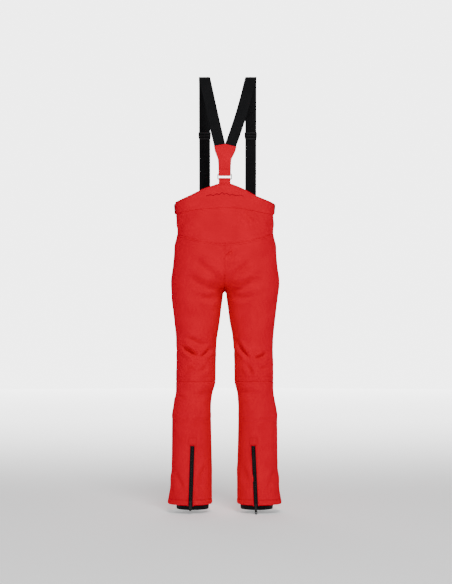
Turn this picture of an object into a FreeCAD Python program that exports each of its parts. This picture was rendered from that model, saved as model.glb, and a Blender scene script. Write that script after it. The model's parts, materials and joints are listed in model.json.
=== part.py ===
"""Ski pants with a raised back bib and elastic suspenders, as an assembly of named pieces.

Frame: +Z up, +X to the wearer's left, the wearer faces -Y. The origin is the centre of the waist
opening, at the height of the waistband's top edge over the side seams. Millimetres and degrees.
"""
import FreeCAD, Part
import math
import os
import Sketcher
from FreeCAD import Matrix, Placement, Rotation, Vector

OUT = "parts"
REACH = 420.0  # half-size of construction blocks, larger than the garment is wide

# Driving dimensions. Heights are z, negative below the waistband's top edge.
SIZES = {
    # fabric and trim
    "cloth": 2.0, "ply_gap": 0.4, "seam_gap": 0.1,
    # seams of the seat: height at the side seam and at the centre back
    "bib_side": 3.0, "bib_mid": 69.0, "bib_flat": 21.0, "front_dip": -9.0, "waist_half_width": 183.0,
    "tab_front": -36.0, "tab_rear": 4.0, "tab_overlap": 21.0,  # degrees round the waist
    "tab_top": -3.0, "tab_bottom": -41.0, "tab_inset_outer": -4.8, "tab_inset_inner": -2.2,
    "pocket_top": -74.0,
    "waist_seam_side": -44.0, "waist_seam_mid": -24.0,
    "yoke_seam_side": -111.0, "yoke_seam_mid": -152.0,
    # where the legs fold
    "groin_level": -323.0, "groin_tilt": 35.0,
    "fold_gap": 1.0, "knee_level": -545.0, "knee_seam_level": -659.0,
    # suspenders
    "webbing": 40.0, "webbing_ply": 1.4, "left_strap_x": 75.0, "right_strap_x": -97.5,
    "shoulder_level": 466.0, "shoulder_radius": 55.0,
    "left_fork_x": 18.0, "right_fork_x": -22.0, "fork_level": 208.0,
    "yoke_tail": 22.0, "yoke_waist": 23.5, "yoke_wing": 39.0, "yoke_ply": 2.4,
    "adjuster_level": 255.0, "adjuster_width": 47.0, "adjuster_height": 27.0, "adjuster_depth": 6.8,
    "adjuster_wall": 1.4, "adjuster_bar": 5.0,
    # wire rings that join the suspenders to the garment
    "ring_width": 53.0, "ring_height": 22.0, "ring_bar": 1.75, "ring_corner": 4.0,
    "eye_bore": 1.83, "eye_wall": 1.4, "back_ring_depth": 91.0, "back_ring_level": 92.5,
    "bib_tab_low": 40.0,
    "front_ring_depth": -104.0, "front_ring_level": 14.0, "front_tab_width": 36.0, "front_tab_low": -42.0,
    # zips
    "tape_half": 7.5, "tape_ply": 0.6, "teeth_half": 2.5, "teeth_depth": 1.5,
    "slider_width": 9.4, "slider_foot": 7.6, "slider_length": 13.0, "slider_plate": 1.2, "slider_play": 0.4,
    "lug_gap": 5.4, "lug_ply": 1.1, "lug_height": 4.0, "lug_length": 4.4, "pin_radius": 0.85,
    "pull_bore": 0.93, "pull_barrel": 1.8, "pull_ply": 1.6, "pull_neck": 4.8, "pull_width": 10.0,
    "pull_length": 33.0, "pull_hole": 2.0, "pull_hole_inset": 5.5,
    # waist closure
    "closure_top": -13.0, "closure_outer": 3.6, "closure_inner": 1.4, "snap_level": -26.0, "snap_gap": 0.3,
    "snap_radius": 6.5, "snap_height": 1.7, "stud_radius": 3.6, "stud_height": 0.6,
}

# Body sections from the waist to the knee, for the left half: level, centre x, centre y, half-width,
# half-depth, and the exponent of the superellipse (2 is an ellipse, more is squarer).
UPPER = {
    "bib_top": (76, 0, -2, 183, 97, 2.4),
    "waist": (0, 0, 0, 183, 100, 2.4),
    "band_low": (-44, 0, 2, 180, 104, 2.4),
    "yoke_side": (-110, 0, 5, 175, 110, 2.35),
    "seat": (-166, 0, 8, 186, 117, 2.3),
    "low_seat": (-233, 27, 8, 164, 119, 2.2),
    "rise": (-285, 72, 4, 126, 112, 2.1),
    "crotch": (-320, 99.5, 0, 98, 102, 2.0),
    "upper_thigh": (-366, 104, -3, 91, 97, 2.0),
    "mid_thigh": (-433, 104, -6, 83, 89, 2.0),
    "knee": (-545, 107, -12, 72, 77, 2.0),
}
LOWER = {
    "knee_low": (-545, 107, -12, 72, 77, 2.0),
    "below_knee": (-655, 108, -4, 72, 77, 2.0),
    "shin": (-704, 114, 2, 67, 74, 2.0),
    "boot_top": (-788, 122.5, 6, 72, 78, 2.0),
    "ankle": (-966, 121.5, 4, 74, 79, 2.0),
    "hem": (-1110, 126.5, 0, 80, 84, 2.0),
}
GAITER = {
    "gaiter_top": (-800, 121.5, 5, 65, 70, 2.0),
    "gaiter_mid": (-960, 119, 2, 62, 66, 2.0),
    "gaiter_low": (-1113, 118.5, 0, 60, 64, 2.0),
    "gaiter_foot": (-1129, 118.5, 0, 59, 63, 2.0),
}
FIELDS = ("level", "cx", "cy", "half_width", "half_depth", "squareness")

# Zips: x and level of the low end and of the high end, face that they lie on (-1 front, +1 back),
# where the slider rests (distance up from the low end) and how far it travels from there.
ZIPS = {
    "left_leg": {"low": (125, -1112), "high": (118, -892), "face": 1, "rest": 14, "travel": 190},
    "right_leg": {"low": (-115, -1112), "high": (-105, -892), "face": 1, "rest": 2, "travel": 202},
    "fly": {"low": (0, -196), "high": (0, -50), "face": -1, "rest": 136, "travel": -112},
    "left_pocket": {"low": (147, -196), "high": (133, -68), "face": -1, "rest": 118, "travel": -100},
    "right_pocket": {"low": (-147, -196), "high": (-133, -68), "face": -1, "rest": 118, "travel": -100},
}

doc = FreeCAD.newDocument("SkiPants")
sheet = doc.addObject("Spreadsheet::Sheet", "Sizes")


def fill_sheet():
    """Writes every driving dimension into the sheet as a plain number with an alias."""
    rows = dict(SIZES)
    for stations in (UPPER, LOWER, GAITER):
        for station, values in stations.items():
            for field, value in zip(FIELDS, values):
                rows[f"{station}_{field}"] = value
    for row, (name, value) in enumerate(rows.items(), 1):
        sheet.set(f"A{row}", name)
        sheet.set(f"B{row}", str(value))
        sheet.setAlias(f"B{row}", name)
    doc.recompute()


def size(name):
    """A driving dimension, read from the sheet."""
    return float(sheet.get(name))


def feature(label, shape):
    """A Part::Feature that holds a shape made with Part's own functions."""
    item = doc.addObject("Part::Feature", label)
    item.Label = label
    item.Shape = shape
    return item


# ---------------------------------------------------------------- garment skin


def slopes(levels, values):
    """Slope at each station that keeps the interpolated profile free of overshoot."""
    steps = [(values[i + 1] - values[i]) / (levels[i + 1] - levels[i]) for i in range(len(levels) - 1)]
    inner = [2 * a * b / (a + b) if a * b > 0 else 0.0 for a, b in zip(steps, steps[1:])]
    return [steps[0]] + inner + [steps[-1]]


class Form:
    """Smooth body form through a run of stations. Angles run from the outer side (0) to the back (pi/2)."""

    def __init__(self, stations):
        rows = sorted([size(f"{s}_{f}") for f in FIELDS] for s in stations)
        self.levels = [row[0] for row in rows]
        self.columns = [[row[i] for row in rows] for i in range(1, len(FIELDS))]
        self.slopes = [slopes(self.levels, column) for column in self.columns]

    def at(self, level):
        """Centre x and y, half-width, half-depth and squareness of the section at a level."""
        level = min(max(level, self.levels[0]), self.levels[-1])
        i = max(k for k in range(len(self.levels) - 1) if self.levels[k] <= level)
        width = self.levels[i + 1] - self.levels[i]
        t = (level - self.levels[i]) / width
        start, start_run = 2 * t**3 - 3 * t**2 + 1, (t**3 - 2 * t**2 + t) * width
        end, end_run = 3 * t**2 - 2 * t**3, (t**3 - t**2) * width
        return [start * c[i] + start_run * s[i] + end * c[i + 1] + end_run * s[i + 1]
                for c, s in zip(self.columns, self.slopes)]

    def point(self, angle, level, inset=0.0):
        """Point of the surface, or of a surface parallel to it, at an angle and a level."""
        cx, cy, half_width, half_depth, squareness = self.at(level)
        across = abs(math.cos(angle)) / (half_width - inset)
        along = abs(math.sin(angle)) / (half_depth - inset)
        radius = (across**squareness + along**squareness) ** (-1.0 / squareness)
        return Vector(cx + radius * math.cos(angle), cy + radius * math.sin(angle), level)

    def inner_angle(self, level):
        """Angle at which the left half meets the middle plane, or pi where the leg stands clear of it."""
        cx, _, half_width, half_depth, squareness = self.at(level)
        if cx >= half_width:
            return math.pi
        return math.atan2(half_depth * (1 - (cx / half_width) ** squareness) ** (1 / squareness), -cx)

    def depth(self, x, level, face):
        """Depth y of the surface on its front (-1) or back (+1)."""
        cx, cy, half_width, half_depth, squareness = self.at(level)
        share = min(abs(x - cx) / half_width, 0.999)
        return cy + face * half_depth * (1 - share**squareness) ** (1 / squareness)

    def meet(self, turn, rule):
        """Level at which the line of constant turn meets a seam given as level against x."""
        level = rule(0.0)
        for _ in range(60):
            level = 0.5 * level + 0.5 * rule(self.point(turn(level), level).x)
        return level


def arch(side, middle):
    """Seam that passes side at both side seams and middle at the centre."""
    width = size("waist_half_width")
    return lambda x: middle + (side - middle) * (x / width) ** 2


def bib_rim(x):
    """Top outline of the bib: a flat at the centre back with a straight slope to each side."""
    beyond = abs(x) - size("bib_flat")
    run = 0.5 * (beyond + math.hypot(beyond, 8.0))
    slope = (size("bib_mid") - size("bib_side")) / (size("waist_half_width") - size("bib_flat"))
    return size("bib_mid") - slope * run


def groin(lift):
    """Fold line between seat and leg, which rises outwards from the crotch."""
    slope = math.tan(math.radians(size("groin_tilt")))
    return lambda x: size("groin_level") + lift + slope * x


def level_line(name, lift=0.0):
    """Seam at one level all the way round."""
    return lambda x: size(name) + lift


def grid(form, begin, finish, top, bottom, inset, columns, rows):
    """Points of one patch of the form between two border angles and two seams."""
    net = []
    for i in range(columns):
        share = i / (columns - 1)

        def turn(level, share=share):
            return begin(level) + (finish(level) - begin(level)) * share

        high, low = form.meet(turn, top), form.meet(turn, bottom)
        line = [high + (low - high) * j / (rows - 1) for j in range(rows)]
        net.append([form.point(turn(level), level, inset) for level in line])
    return net


def knots(count):
    """Multiplicities and knots of a clamped cubic spline with this many poles."""
    spans = count - 3
    return [4] + [1] * (spans - 1) + [4], [float(i) for i in range(spans + 1)]


def surface(net):
    """Smooth face drawn through a grid of points, which are its poles."""
    (u_mults, u_knots), (v_mults, v_knots) = knots(len(net)), knots(len(net[0]))
    smooth = Part.BSplineSurface()
    smooth.buildFromPolesMultsKnots(net, u_mults, v_mults, u_knots, v_knots, False, False, 3, 3)
    return smooth.toShape()


def rim(outer, inner):
    """Narrow face between two border lines of points."""
    mults, values = knots(len(outer))
    strip = Part.BSplineSurface()
    poles = [list(pair) for pair in zip(outer, inner)]
    strip.buildFromPolesMultsKnots(poles, mults, [2, 2], values, [0.0, 1.0], False, False, 3, 1)
    return strip.toShape()


def borders(net):
    """Border lines of a grid: both sides, then top and bottom."""
    return [net[0], net[-1], [line[0] for line in net], [line[-1] for line in net]]


def fabric(label, patches, closed=False):
    """Cloth panel: each patch is an outer and an inner grid, joined by narrow rims along its free borders."""
    faces = []
    for outer, inner in patches:
        rims = [rim(a, b) for a, b in zip(borders(outer), borders(inner))]
        faces += [surface(outer), surface(inner)] + (rims[2:] if closed else rims)
    sewn = Part.makeCompound(faces)
    sewn.sewShape(0.001)
    solid = Part.Solid(sewn.Shells[0])
    if solid.Volume < 0:
        solid.reverse()
    return feature(label, solid)


def panel(label, form, begin, finish, top, bottom, insets, columns=17, rows=9):
    """Cloth panel between two border angles and two seams, with its outer and its inner inset."""
    nets = [grid(form, begin, finish, top, bottom, inset, columns, rows) for inset in insets]
    return fabric(label, [nets])


def tube(label, form, top, bottom, insets, rows=9):
    """Cloth tube all the way round the leg."""
    patches = []
    for begin, finish in ((0.0, math.pi), (math.pi, 2 * math.pi)):
        sides = fixed(begin), fixed(finish)
        patches.append([grid(form, *sides, top, bottom, inset, 17, rows) for inset in insets])
    return fabric(label, patches, closed=True)


def fixed(angle):
    """Border at a constant angle."""
    return lambda level: angle


def mirrored(label, source):
    """The right-hand twin of a left-hand piece."""
    item = doc.addObject("Part::Mirroring", label)
    item.Label = label
    item.Source = source
    item.Normal = Vector(1, 0, 0)
    return item


def group(label, *pieces):
    """Identical pieces that share one node, each its own solid."""
    item = doc.addObject("Part::Compound", label)
    item.Label = label
    item.Links = list(pieces)
    return item


def garment_panels(body, leg, cuff):
    """Bib, waistband, yoke, seat, front, thigh, knee and shin panels, with the inner gaiters."""
    cloth, slit, fold = size("cloth"), -size("seam_gap"), -size("fold_gap")
    ply = (0.0, cloth)
    nick = size("seam_gap") / 200.0
    side_back, side_front, across = fixed(nick), fixed(-nick), fixed(math.pi - nick)
    waist_seam = (size("waist_seam_side"), size("waist_seam_mid"))
    yoke_seam = (size("yoke_seam_side"), size("yoke_seam_mid"))
    under_knee = size("knee_seam_level")

    def rise_back(level):
        return body.inner_angle(level) - nick

    def rise_front(level):
        return nick - body.inner_angle(level)

    def below(seam):
        return arch(seam[0] + slit, seam[1] + slit)

    inner_back, inner_front = fixed(math.pi - nick), fixed(nick - math.pi)
    front_rim = arch(size("bib_side"), size("front_dip"))
    band_low, front_top = level_line("waist_seam_side"), level_line("waist_seam_side", slit)
    knee, hem = level_line("knee_level"), level_line("hem_level")
    cuff_top, cuff_low = level_line("gaiter_top_level"), level_line("gaiter_low_level")
    elastic_top, foot = level_line("gaiter_low_level", slit), level_line("gaiter_foot_level")
    kept = [
        panel("back_bib", body, side_back, across, bib_rim, arch(*waist_seam), ply, 33),
        panel("back_yoke", body, side_back, across, below(waist_seam), arch(*yoke_seam), ply, 33),
        panel("left_front_waistband", body, side_front, fixed(nick - math.pi / 2), front_rim, band_low, ply),
        panel("left_seat_panel", body, side_back, rise_back, below(yoke_seam), groin(0.0), ply, 25, 13),
        panel("left_front_panel", body, side_front, rise_front, front_top, groin(0.0), ply, 25, 17),
        panel("left_thigh_front", body, side_front, inner_front, groin(fold), knee, ply, 21, 13),
        panel("left_thigh_back", body, side_back, inner_back, groin(fold), knee, ply, 21, 13),
        tube("left_knee_panel", leg, level_line("knee_level", fold), level_line("knee_seam_level"), ply),
        panel("left_shin_front", leg, side_front, inner_front, lambda x: under_knee + slit, hem, ply, 17, 17),
        panel("left_shin_back", leg, side_back, inner_back, lambda x: under_knee + slit, hem, ply, 17, 17),
        tube("left_gaiter", cuff, cuff_top, cuff_low, ply),
        tube("left_gaiter_elastic", cuff, elastic_top, foot, ply, 5),
    ]
    left = [item for item in kept if item.Label.startswith("left_")]
    return kept + [mirrored(item.Label.replace("left_", "right_"), item) for item in left]


def waist_trim(body):
    """Hook-and-loop waist tabs on the sides with their loop patches, the closure tab and the pocket bags."""
    tab_outer, tab_inner = size("tab_inset_outer"), size("tab_inset_inner")
    high, low = level_line("tab_top"), level_line("tab_bottom")
    front, rear, overlap = (math.radians(size(name)) for name in ("tab_front", "tab_rear", "tab_overlap"))
    tab = panel("left_waist_tab", body, fixed(front), fixed(rear), high, low, (tab_outer, tab_inner), 9, 5)
    patch = panel("left_loop_patch", body, fixed(front + math.radians(2)), fixed(front + overlap),
                  level_line("tab_top", -4), level_line("tab_bottom", 4), (-1.3, -0.3), 9, 5)
    patches = group("waist_loop_patches", patch, mirrored("right_loop_patch", patch))
    plies = (-size("closure_outer"), -size("closure_inner"))
    closure = panel("waist_closure_tab", body, fixed(math.radians(-113)), fixed(math.radians(-76)),
                    level_line("closure_top"), low, plies, 9, 5)
    inset = size("cloth")
    bag = panel("left_pocket_bag", body, fixed(math.radians(-62)), fixed(math.radians(-27)),
                level_line("pocket_top"), groin(14.0), (inset + 0.6, inset + 1.8), 9, 9)
    return [tab, mirrored("right_waist_tab", tab), patches, closure, bag, mirrored("right_pocket_bag", bag)]


# ---------------------------------------------------------------- hardware


def prism(label, corners, start, height, axis="Z"):
    """Body that pads one straight-sided outline along an axis, each corner bound to the sheet."""
    body = doc.addObject("PartDesign::Body", label)
    body.Label = label
    sketch = outline(body, f"{label}_outline", corners, axis, start)
    pad = body.newObject("PartDesign::Pad", f"{label}_pad")
    pad.Profile = sketch
    pad.setExpression("Length", height)
    if axis == "Y":
        pad.Reversed = True
    return body, pad


PLANES = {"Z": "XY_Plane", "Y": "XZ_Plane", "X": "YZ_Plane"}


def outline(body, name, corners, axis, start="0"):
    """Closed polygon on an origin plane, moved along the plane's axis to start. Corners are expressions."""
    sketch = body.newObject("Sketcher::SketchObject", name)
    plane = [f for f in body.Origin.OriginFeatures if f.Role == PLANES[axis]][0]
    sketch.AttachmentSupport = (plane, "")
    sketch.MapMode = "FlatFace"
    sign = "-1 * " if axis == "Y" else ""
    sketch.setExpression("AttachmentOffset.Base.z", f"{sign}({start})")
    count = len(corners)
    turn = [2.0 * math.pi * (i + 0.5) / count for i in range(count)]
    rough = [Vector(10 * math.cos(t), 10 * math.sin(t), 0) for t in turn]
    for i in range(count):
        sketch.addGeometry(Part.LineSegment(rough[i], rough[(i + 1) % count]))
    for i in range(count):
        sketch.addConstraint(Sketcher.Constraint("Coincident", i, 2, (i + 1) % count, 1))
    for i, (across, along) in enumerate(corners):
        for kind, value, rule in (("DistanceX", rough[i].x, across), ("DistanceY", rough[i].y, along)):
            number = sketch.addConstraint(Sketcher.Constraint(kind, -1, 1, i, 1, value))
            sketch.setExpression(f"Constraints[{number}]", rule)
    return sketch


def pocket(body, name, corners, axis, start="0"):
    """Cuts one outline right through a body, both ways."""
    cut = body.newObject("PartDesign::Pocket", name)
    cut.Profile = outline(body, f"{name}_outline", corners, axis, start)
    cut.Type = "ThroughAll"
    cut.Midplane = True
    return cut


def rectangle(x_low, x_high, y_low, y_high):
    """Corners of a rectangle, as expressions, anticlockwise."""
    return [(x_low, y_low), (x_high, y_low), (x_high, y_high), (x_low, y_high)]


def copy_at(label, source, placement):
    """A copy of a hardware piece, put where it belongs."""
    item = feature(label, source.Shape.copy())
    item.Placement = placement
    return item


def fillet(body, name, radius, edges):
    """Rounds the edges of a body's tip that pass a test."""
    doc.recompute()
    tip = body.Tip
    names = [f"Edge{n}" for n, edge in enumerate(tip.Shape.Edges, 1) if edges(edge)]
    item = body.newObject("PartDesign::Fillet", name)
    item.Base = (tip, names)
    item.Radius = radius
    body.Tip = item
    return item


def along(edge, axis):
    """True for a straight edge parallel to an axis."""
    line = edge.Vertexes[-1].Point - edge.Vertexes[0].Point
    return len(edge.Vertexes) == 2 and line.Length > 0.01 and line.normalize().cross(axis).Length < 1e-4


X_AXIS, Y_AXIS, Z_AXIS = Vector(1, 0, 0), Vector(0, 1, 0), Vector(0, 0, 1)


def slider_body():
    """Zip slider, in the zip's own frame: X across, Y out of the cloth, Z up the zip, teeth on Z.

    A shield-shaped top plate with flanges down both sides of the teeth, and two lugs that hold the pin.
    """
    half, foot, reach = "Sizes.slider_width / 2", "Sizes.slider_foot / 2", "Sizes.slider_length / 2"
    floor = "Sizes.tape_ply + Sizes.slider_play"
    roof = "Sizes.tape_ply + Sizes.teeth_depth + Sizes.slider_play"
    shield = [(f"-{foot}", f"-{reach}"), (foot, f"-{reach}"), (half, "0.5"), (half, f"{reach} - 1.6"),
              ("2.2", reach), ("-2.2", reach), (f"-{half}", f"{reach} - 1.6"), (f"-{half}", "0.5")]
    body, _ = prism("slider_master", shield, floor, f"{roof} + Sizes.slider_plate - ({floor})", "Y")
    doc.recompute()
    channel = "Sizes.teeth_half + Sizes.slider_play"
    pocket(body, "slider_channel", rectangle(f"-1 * ({channel})", channel, "-1", roof), "Z")
    lugs = []
    for side in (-1, 1):
        lug = doc.addObject("Part::Box", "lug")
        lug.setExpression("Length", "Sizes.lug_ply")
        lug.setExpression("Width", "Sizes.lug_height")
        lug.setExpression("Height", "Sizes.lug_length")
        inner = size("lug_gap") / 2
        x = inner if side > 0 else -inner - size("lug_ply")
        corner = Vector(x, pin_depth() - size("lug_height") + 1.3, pin_level() - 2.2)
        lug.Placement = Placement(corner, Rotation())
        lugs.append(lug)
    pin = doc.addObject("Part::Cylinder", "pin")
    pin.setExpression("Radius", "Sizes.pin_radius")
    pin.setExpression("Height", "Sizes.lug_gap + 2 * Sizes.lug_ply - 0.2")
    start = Vector(-size("lug_gap") / 2 - size("lug_ply") + 0.1, pin_depth(), pin_level())
    pin.Placement = Placement(start, Rotation(Y_AXIS, 90))
    whole = doc.addObject("Part::MultiFuse", "slider_whole")
    whole.Shapes = [body] + lugs + [pin]
    return whole


def pin_depth():
    """How far the pull's pin stands off the cloth."""
    return size("tape_ply") + size("teeth_depth") + size("slider_play") + size("slider_plate") + 2.3


def pin_level():
    """Where the pull's pin is along the slider, up from its middle."""
    return 1.5


def pull_body():
    """Zip pull in the zip's own frame, hanging from the pin: a barrel, a neck and a broad tab with a hole."""
    neck, half, end = "Sizes.pull_neck / 2", "Sizes.pull_width / 2", "Sizes.pull_length"
    level = pin_level()
    tab = [(f"-{neck}", f"{level} - 8"), (f"-{neck}", f"{level}"), (neck, f"{level}"), (neck, f"{level} - 8"),
           (f"{half} - 0.6", f"{level} - 13"), (half, f"{level} + 3 - {end}"),
           (f"{half} - 3", f"{level} - {end}"), (f"3 - {half}", f"{level} - {end}"),
           (f"-{half}", f"{level} + 3 - {end}"),
           (f"0.6 - {half}", f"{level} - 13")]
    body, _ = prism("pull_master", tab, f"{pin_depth()} - Sizes.pull_ply / 2", "Sizes.pull_ply", "Y")
    fillet(body, "pull_round", 0.6, lambda e: along(e, Y_AXIS) and e.Vertexes[0].Z < level - 12)
    barrel = doc.addObject("Part::Cylinder", "pull_barrel_solid")
    barrel.setExpression("Radius", "Sizes.pull_barrel")
    barrel.setExpression("Height", "Sizes.pull_neck")
    barrel.Placement = Placement(Vector(-size("pull_neck") / 2, pin_depth(), level), Rotation(Y_AXIS, 90))
    bore = doc.addObject("Part::Cylinder", "pull_bore_tool")
    bore.setExpression("Radius", "Sizes.pull_bore")
    bore.Height = 20
    bore.Placement = Placement(Vector(-10, pin_depth(), level), Rotation(Y_AXIS, 90))
    hole = doc.addObject("Part::Cylinder", "pull_hole_tool")
    hole.setExpression("Radius", "Sizes.pull_hole")
    hole.Height = 20
    low = level - size("pull_length") + size("pull_hole_inset")
    hole.Placement = Placement(Vector(0, pin_depth() + 10, low), Rotation(X_AXIS, 90))
    solid = doc.addObject("Part::MultiFuse", "pull_solid")
    solid.Shapes = [body, barrel]
    tools = doc.addObject("Part::MultiFuse", "pull_tools")
    tools.Shapes = [bore, hole]
    whole = doc.addObject("Part::Cut", "pull_whole")
    whole.Base, whole.Tool = solid, tools
    return whole


def zip_frame(row, body, leg):
    """Placement that carries the zip's own frame to the garment, and the zip's length."""
    (low_x, low_z), (high_x, high_z), face = row["low"], row["high"], row["face"]
    form = leg if low_z < size("knee_level") else body
    mirror = -1 if low_x < 0 else 1

    def on_surface(x, z):
        return form.depth(x * mirror, max(z, form.levels[0]), face)

    low = Vector(low_x, on_surface(low_x, low_z), low_z)
    high = Vector(high_x, on_surface(high_x, high_z), high_z)
    mid_x, mid_z, step = (low_x + high_x) / 2, (low_z + high_z) / 2, 4.0
    fall = (on_surface(mid_x + step, mid_z) - on_surface(mid_x - step, mid_z)) / (2 * step)
    up = (high - low).normalize()
    out = Vector(-fall, 1, 0) * face
    out = (out - up * out.dot(up)).normalize()
    bulge = 0.0
    for share in (0.2, 0.35, 0.5, 0.65, 0.8):
        point = low + (high - low) * share
        bulge = max(bulge, (on_surface(point.x, point.z) - point.y) * face)
    low = low + out * (size("ply_gap") + bulge)
    return Placement(axes_matrix(out.cross(up), out, up, low)), (high - low).Length


def axes_matrix(x_axis, y_axis, z_axis, base):
    """Matrix that carries the three axes of a piece's own frame to the given ones."""
    return Matrix(x_axis.x, y_axis.x, z_axis.x, base.x, x_axis.y, y_axis.y, z_axis.y, base.y,
                  x_axis.z, y_axis.z, z_axis.z, base.z, 0, 0, 0, 1)


def zip_tape(label, length, placement):
    """Two halves of woven tape with the coil of teeth between them, side by side as three solids."""
    half, ply, teeth, depth = size("tape_half"), size("tape_ply"), size("teeth_half"), size("teeth_depth")
    left = Part.makeBox(half - 0.1, ply, length, Vector(0.1, 0, 0))
    right = Part.makeBox(half - 0.1, ply, length, Vector(-half, 0, 0))
    coil = Part.makeBox(2 * teeth, depth, length, Vector(-teeth, ply, 0))
    coil = coil.makeChamfer(0.5, [e for e in coil.Edges if along(e, Z_AXIS) and e.Vertexes[0].Y > ply + 0.1])
    item = feature(label, Part.makeCompound([left, right, coil]))
    item.Placement = placement
    return item


def zips(body, leg):
    """Every zip's tape, slider and pull. Prints the frames that the record's joints use."""
    slider, pull = slider_body(), pull_body()
    doc.recompute()
    made = []
    for name, row in ZIPS.items():
        placement, length = zip_frame(row, body, leg)
        made.append(zip_tape(f"{name}_zip_tape", length, placement))
        rest = placement.multiply(Placement(Vector(0, 0, row["rest"]), Rotation()))
        made.append(copy_at(f"{name}_zip_slider", slider, rest))
        made.append(copy_at(f"{name}_zip_pull", pull, rest))
        pin = rest.multVec(Vector(0, pin_depth(), pin_level()))
        turn = rest.Rotation
        drop = size("pull_length") - size("pull_hole_inset")
        hole = rest.multVec(Vector(0, pin_depth(), pin_level() - drop))
        print("zip", name, "along", tuple(turn.multVec(Z_AXIS)), "across", tuple(turn.multVec(X_AXIS)),
              "out", tuple(turn.multVec(Y_AXIS)), "pin", tuple(pin), "hole", tuple(hole), "length", length)
    return made


def zip_garages(leg):
    """Stitched patch over the top of each leg zip."""
    made = []
    for side, x in (("left", 117.5), ("right", -105.0)):
        depth = leg.depth(abs(x), -876, 1) + size("ply_gap")
        patch = Part.makeBox(30, 1.2, 28, Vector(-15, 0, -14))
        patch = patch.makeFillet(4, [e for e in patch.Edges if along(e, Y_AXIS)])
        item = feature(f"{side}_zip_garage", patch)
        lean = math.degrees(math.asin((abs(x) - 122) / 73.0)) * (1 if x > 0 else -1)
        item.Placement = Placement(Vector(x, depth + 0.4, -874), Rotation(Z_AXIS, -lean))
        made.append(item)
    return made


# ---------------------------------------------------------------- suspenders


def wire_ring(label, placement):
    """Rectangular ring bent from round wire, lying in its own XZ plane."""
    bar, corner = size("ring_bar"), size("ring_corner")
    half, rise = size("ring_width") / 2 - bar, size("ring_height") / 2 - bar
    bend = corner - bar
    edges = []
    corners = [(half, rise), (-half, rise), (-half, -rise), (half, -rise)]
    for i, (x, z) in enumerate(corners):
        last, following = corners[i - 1], corners[(i + 1) % 4]
        back = Vector(last[0] - x, 0, last[1] - z).normalize() * bend
        ahead = Vector(following[0] - x, 0, following[1] - z).normalize() * bend
        here = Vector(x, 0, z)
        centre = here + back + ahead
        middle = centre + (here - centre).normalize() * bend
        edges.append(Part.Arc(here + back, middle, here + ahead).toShape())
        beyond = Vector(following[0], 0, following[1]) - ahead
        edges.append(Part.makeLine(here + ahead, beyond))
    path = Part.Wire(edges)
    start = edges[1].valueAt(edges[1].FirstParameter + edges[1].Length / 2)
    path = Part.Wire([Part.makeLine(start, edges[1].Vertexes[-1].Point)] + edges[2:] + edges[:1]
                     + [Part.makeLine(edges[1].Vertexes[0].Point, start)])
    profile = Part.Wire([Part.makeCircle(bar, start, X_AXIS)])
    item = feature(label, path.makePipeShell([profile], True, False))
    item.Placement = placement
    return item


def band_face(start, angle_from, angle_to, ply):
    """Face of a webbing band seen from the side: a straight run from start, then on round the shoulder arc.

    Angles are measured round the arc from its crown, positive to the back.
    """
    radius = size("shoulder_radius")
    centre_level = size("shoulder_level") - radius

    def arc_point(angle, r):
        return Vector(0, r * math.sin(angle), centre_level + r * math.cos(angle))

    middle = (angle_from + angle_to) / 2
    inner_r, outer_r = radius - ply / 2, radius + ply / 2
    normal = Vector(0, math.sin(angle_from), math.cos(angle_from)) * (ply / 2)
    low = Vector(0, start[0], start[1])
    outer = Part.Arc(arc_point(angle_from, outer_r), arc_point(middle, outer_r), arc_point(angle_to, outer_r))
    inner = Part.Arc(arc_point(angle_to, inner_r), arc_point(middle, inner_r), arc_point(angle_from, inner_r))
    edges = [
        Part.makeLine(low + normal, arc_point(angle_from, outer_r)),
        outer.toShape(),
        Part.makeLine(arc_point(angle_to, outer_r), arc_point(angle_to, inner_r)),
        inner.toShape(),
        Part.makeLine(arc_point(angle_from, inner_r), low - normal),
        Part.makeLine(low - normal, low + normal),
    ]
    return Part.Face(Part.Wire(edges))


def arc_contact(y, level):
    """Point of the shoulder arc, and its angle, where the straight run from (y, level) touches it."""
    radius = size("shoulder_radius")
    centre_level = size("shoulder_level") - radius
    dy, dz = y, level - centre_level
    distance = math.hypot(dy, dz)
    toward = math.atan2(dy, dz)
    swing = math.acos(radius / distance)
    angle = toward + swing if y < 0 else toward - swing
    return (radius * math.sin(angle), centre_level + radius * math.cos(angle)), angle


def front_line():
    """Foot and arc contact of the straight front run of webbing, in the YZ plane."""
    foot = (size("front_ring_depth"), size("front_ring_level") + size("ring_height") / 2 - size("ring_bar"))
    return foot, *arc_contact(*foot)


def back_line():
    """Foot and arc contact of the straight back run, from the back ring's upper bar."""
    foot = (size("back_ring_depth"), size("back_ring_level") + size("ring_height") / 2 - size("ring_bar"))
    return foot, *arc_contact(*foot)


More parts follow.
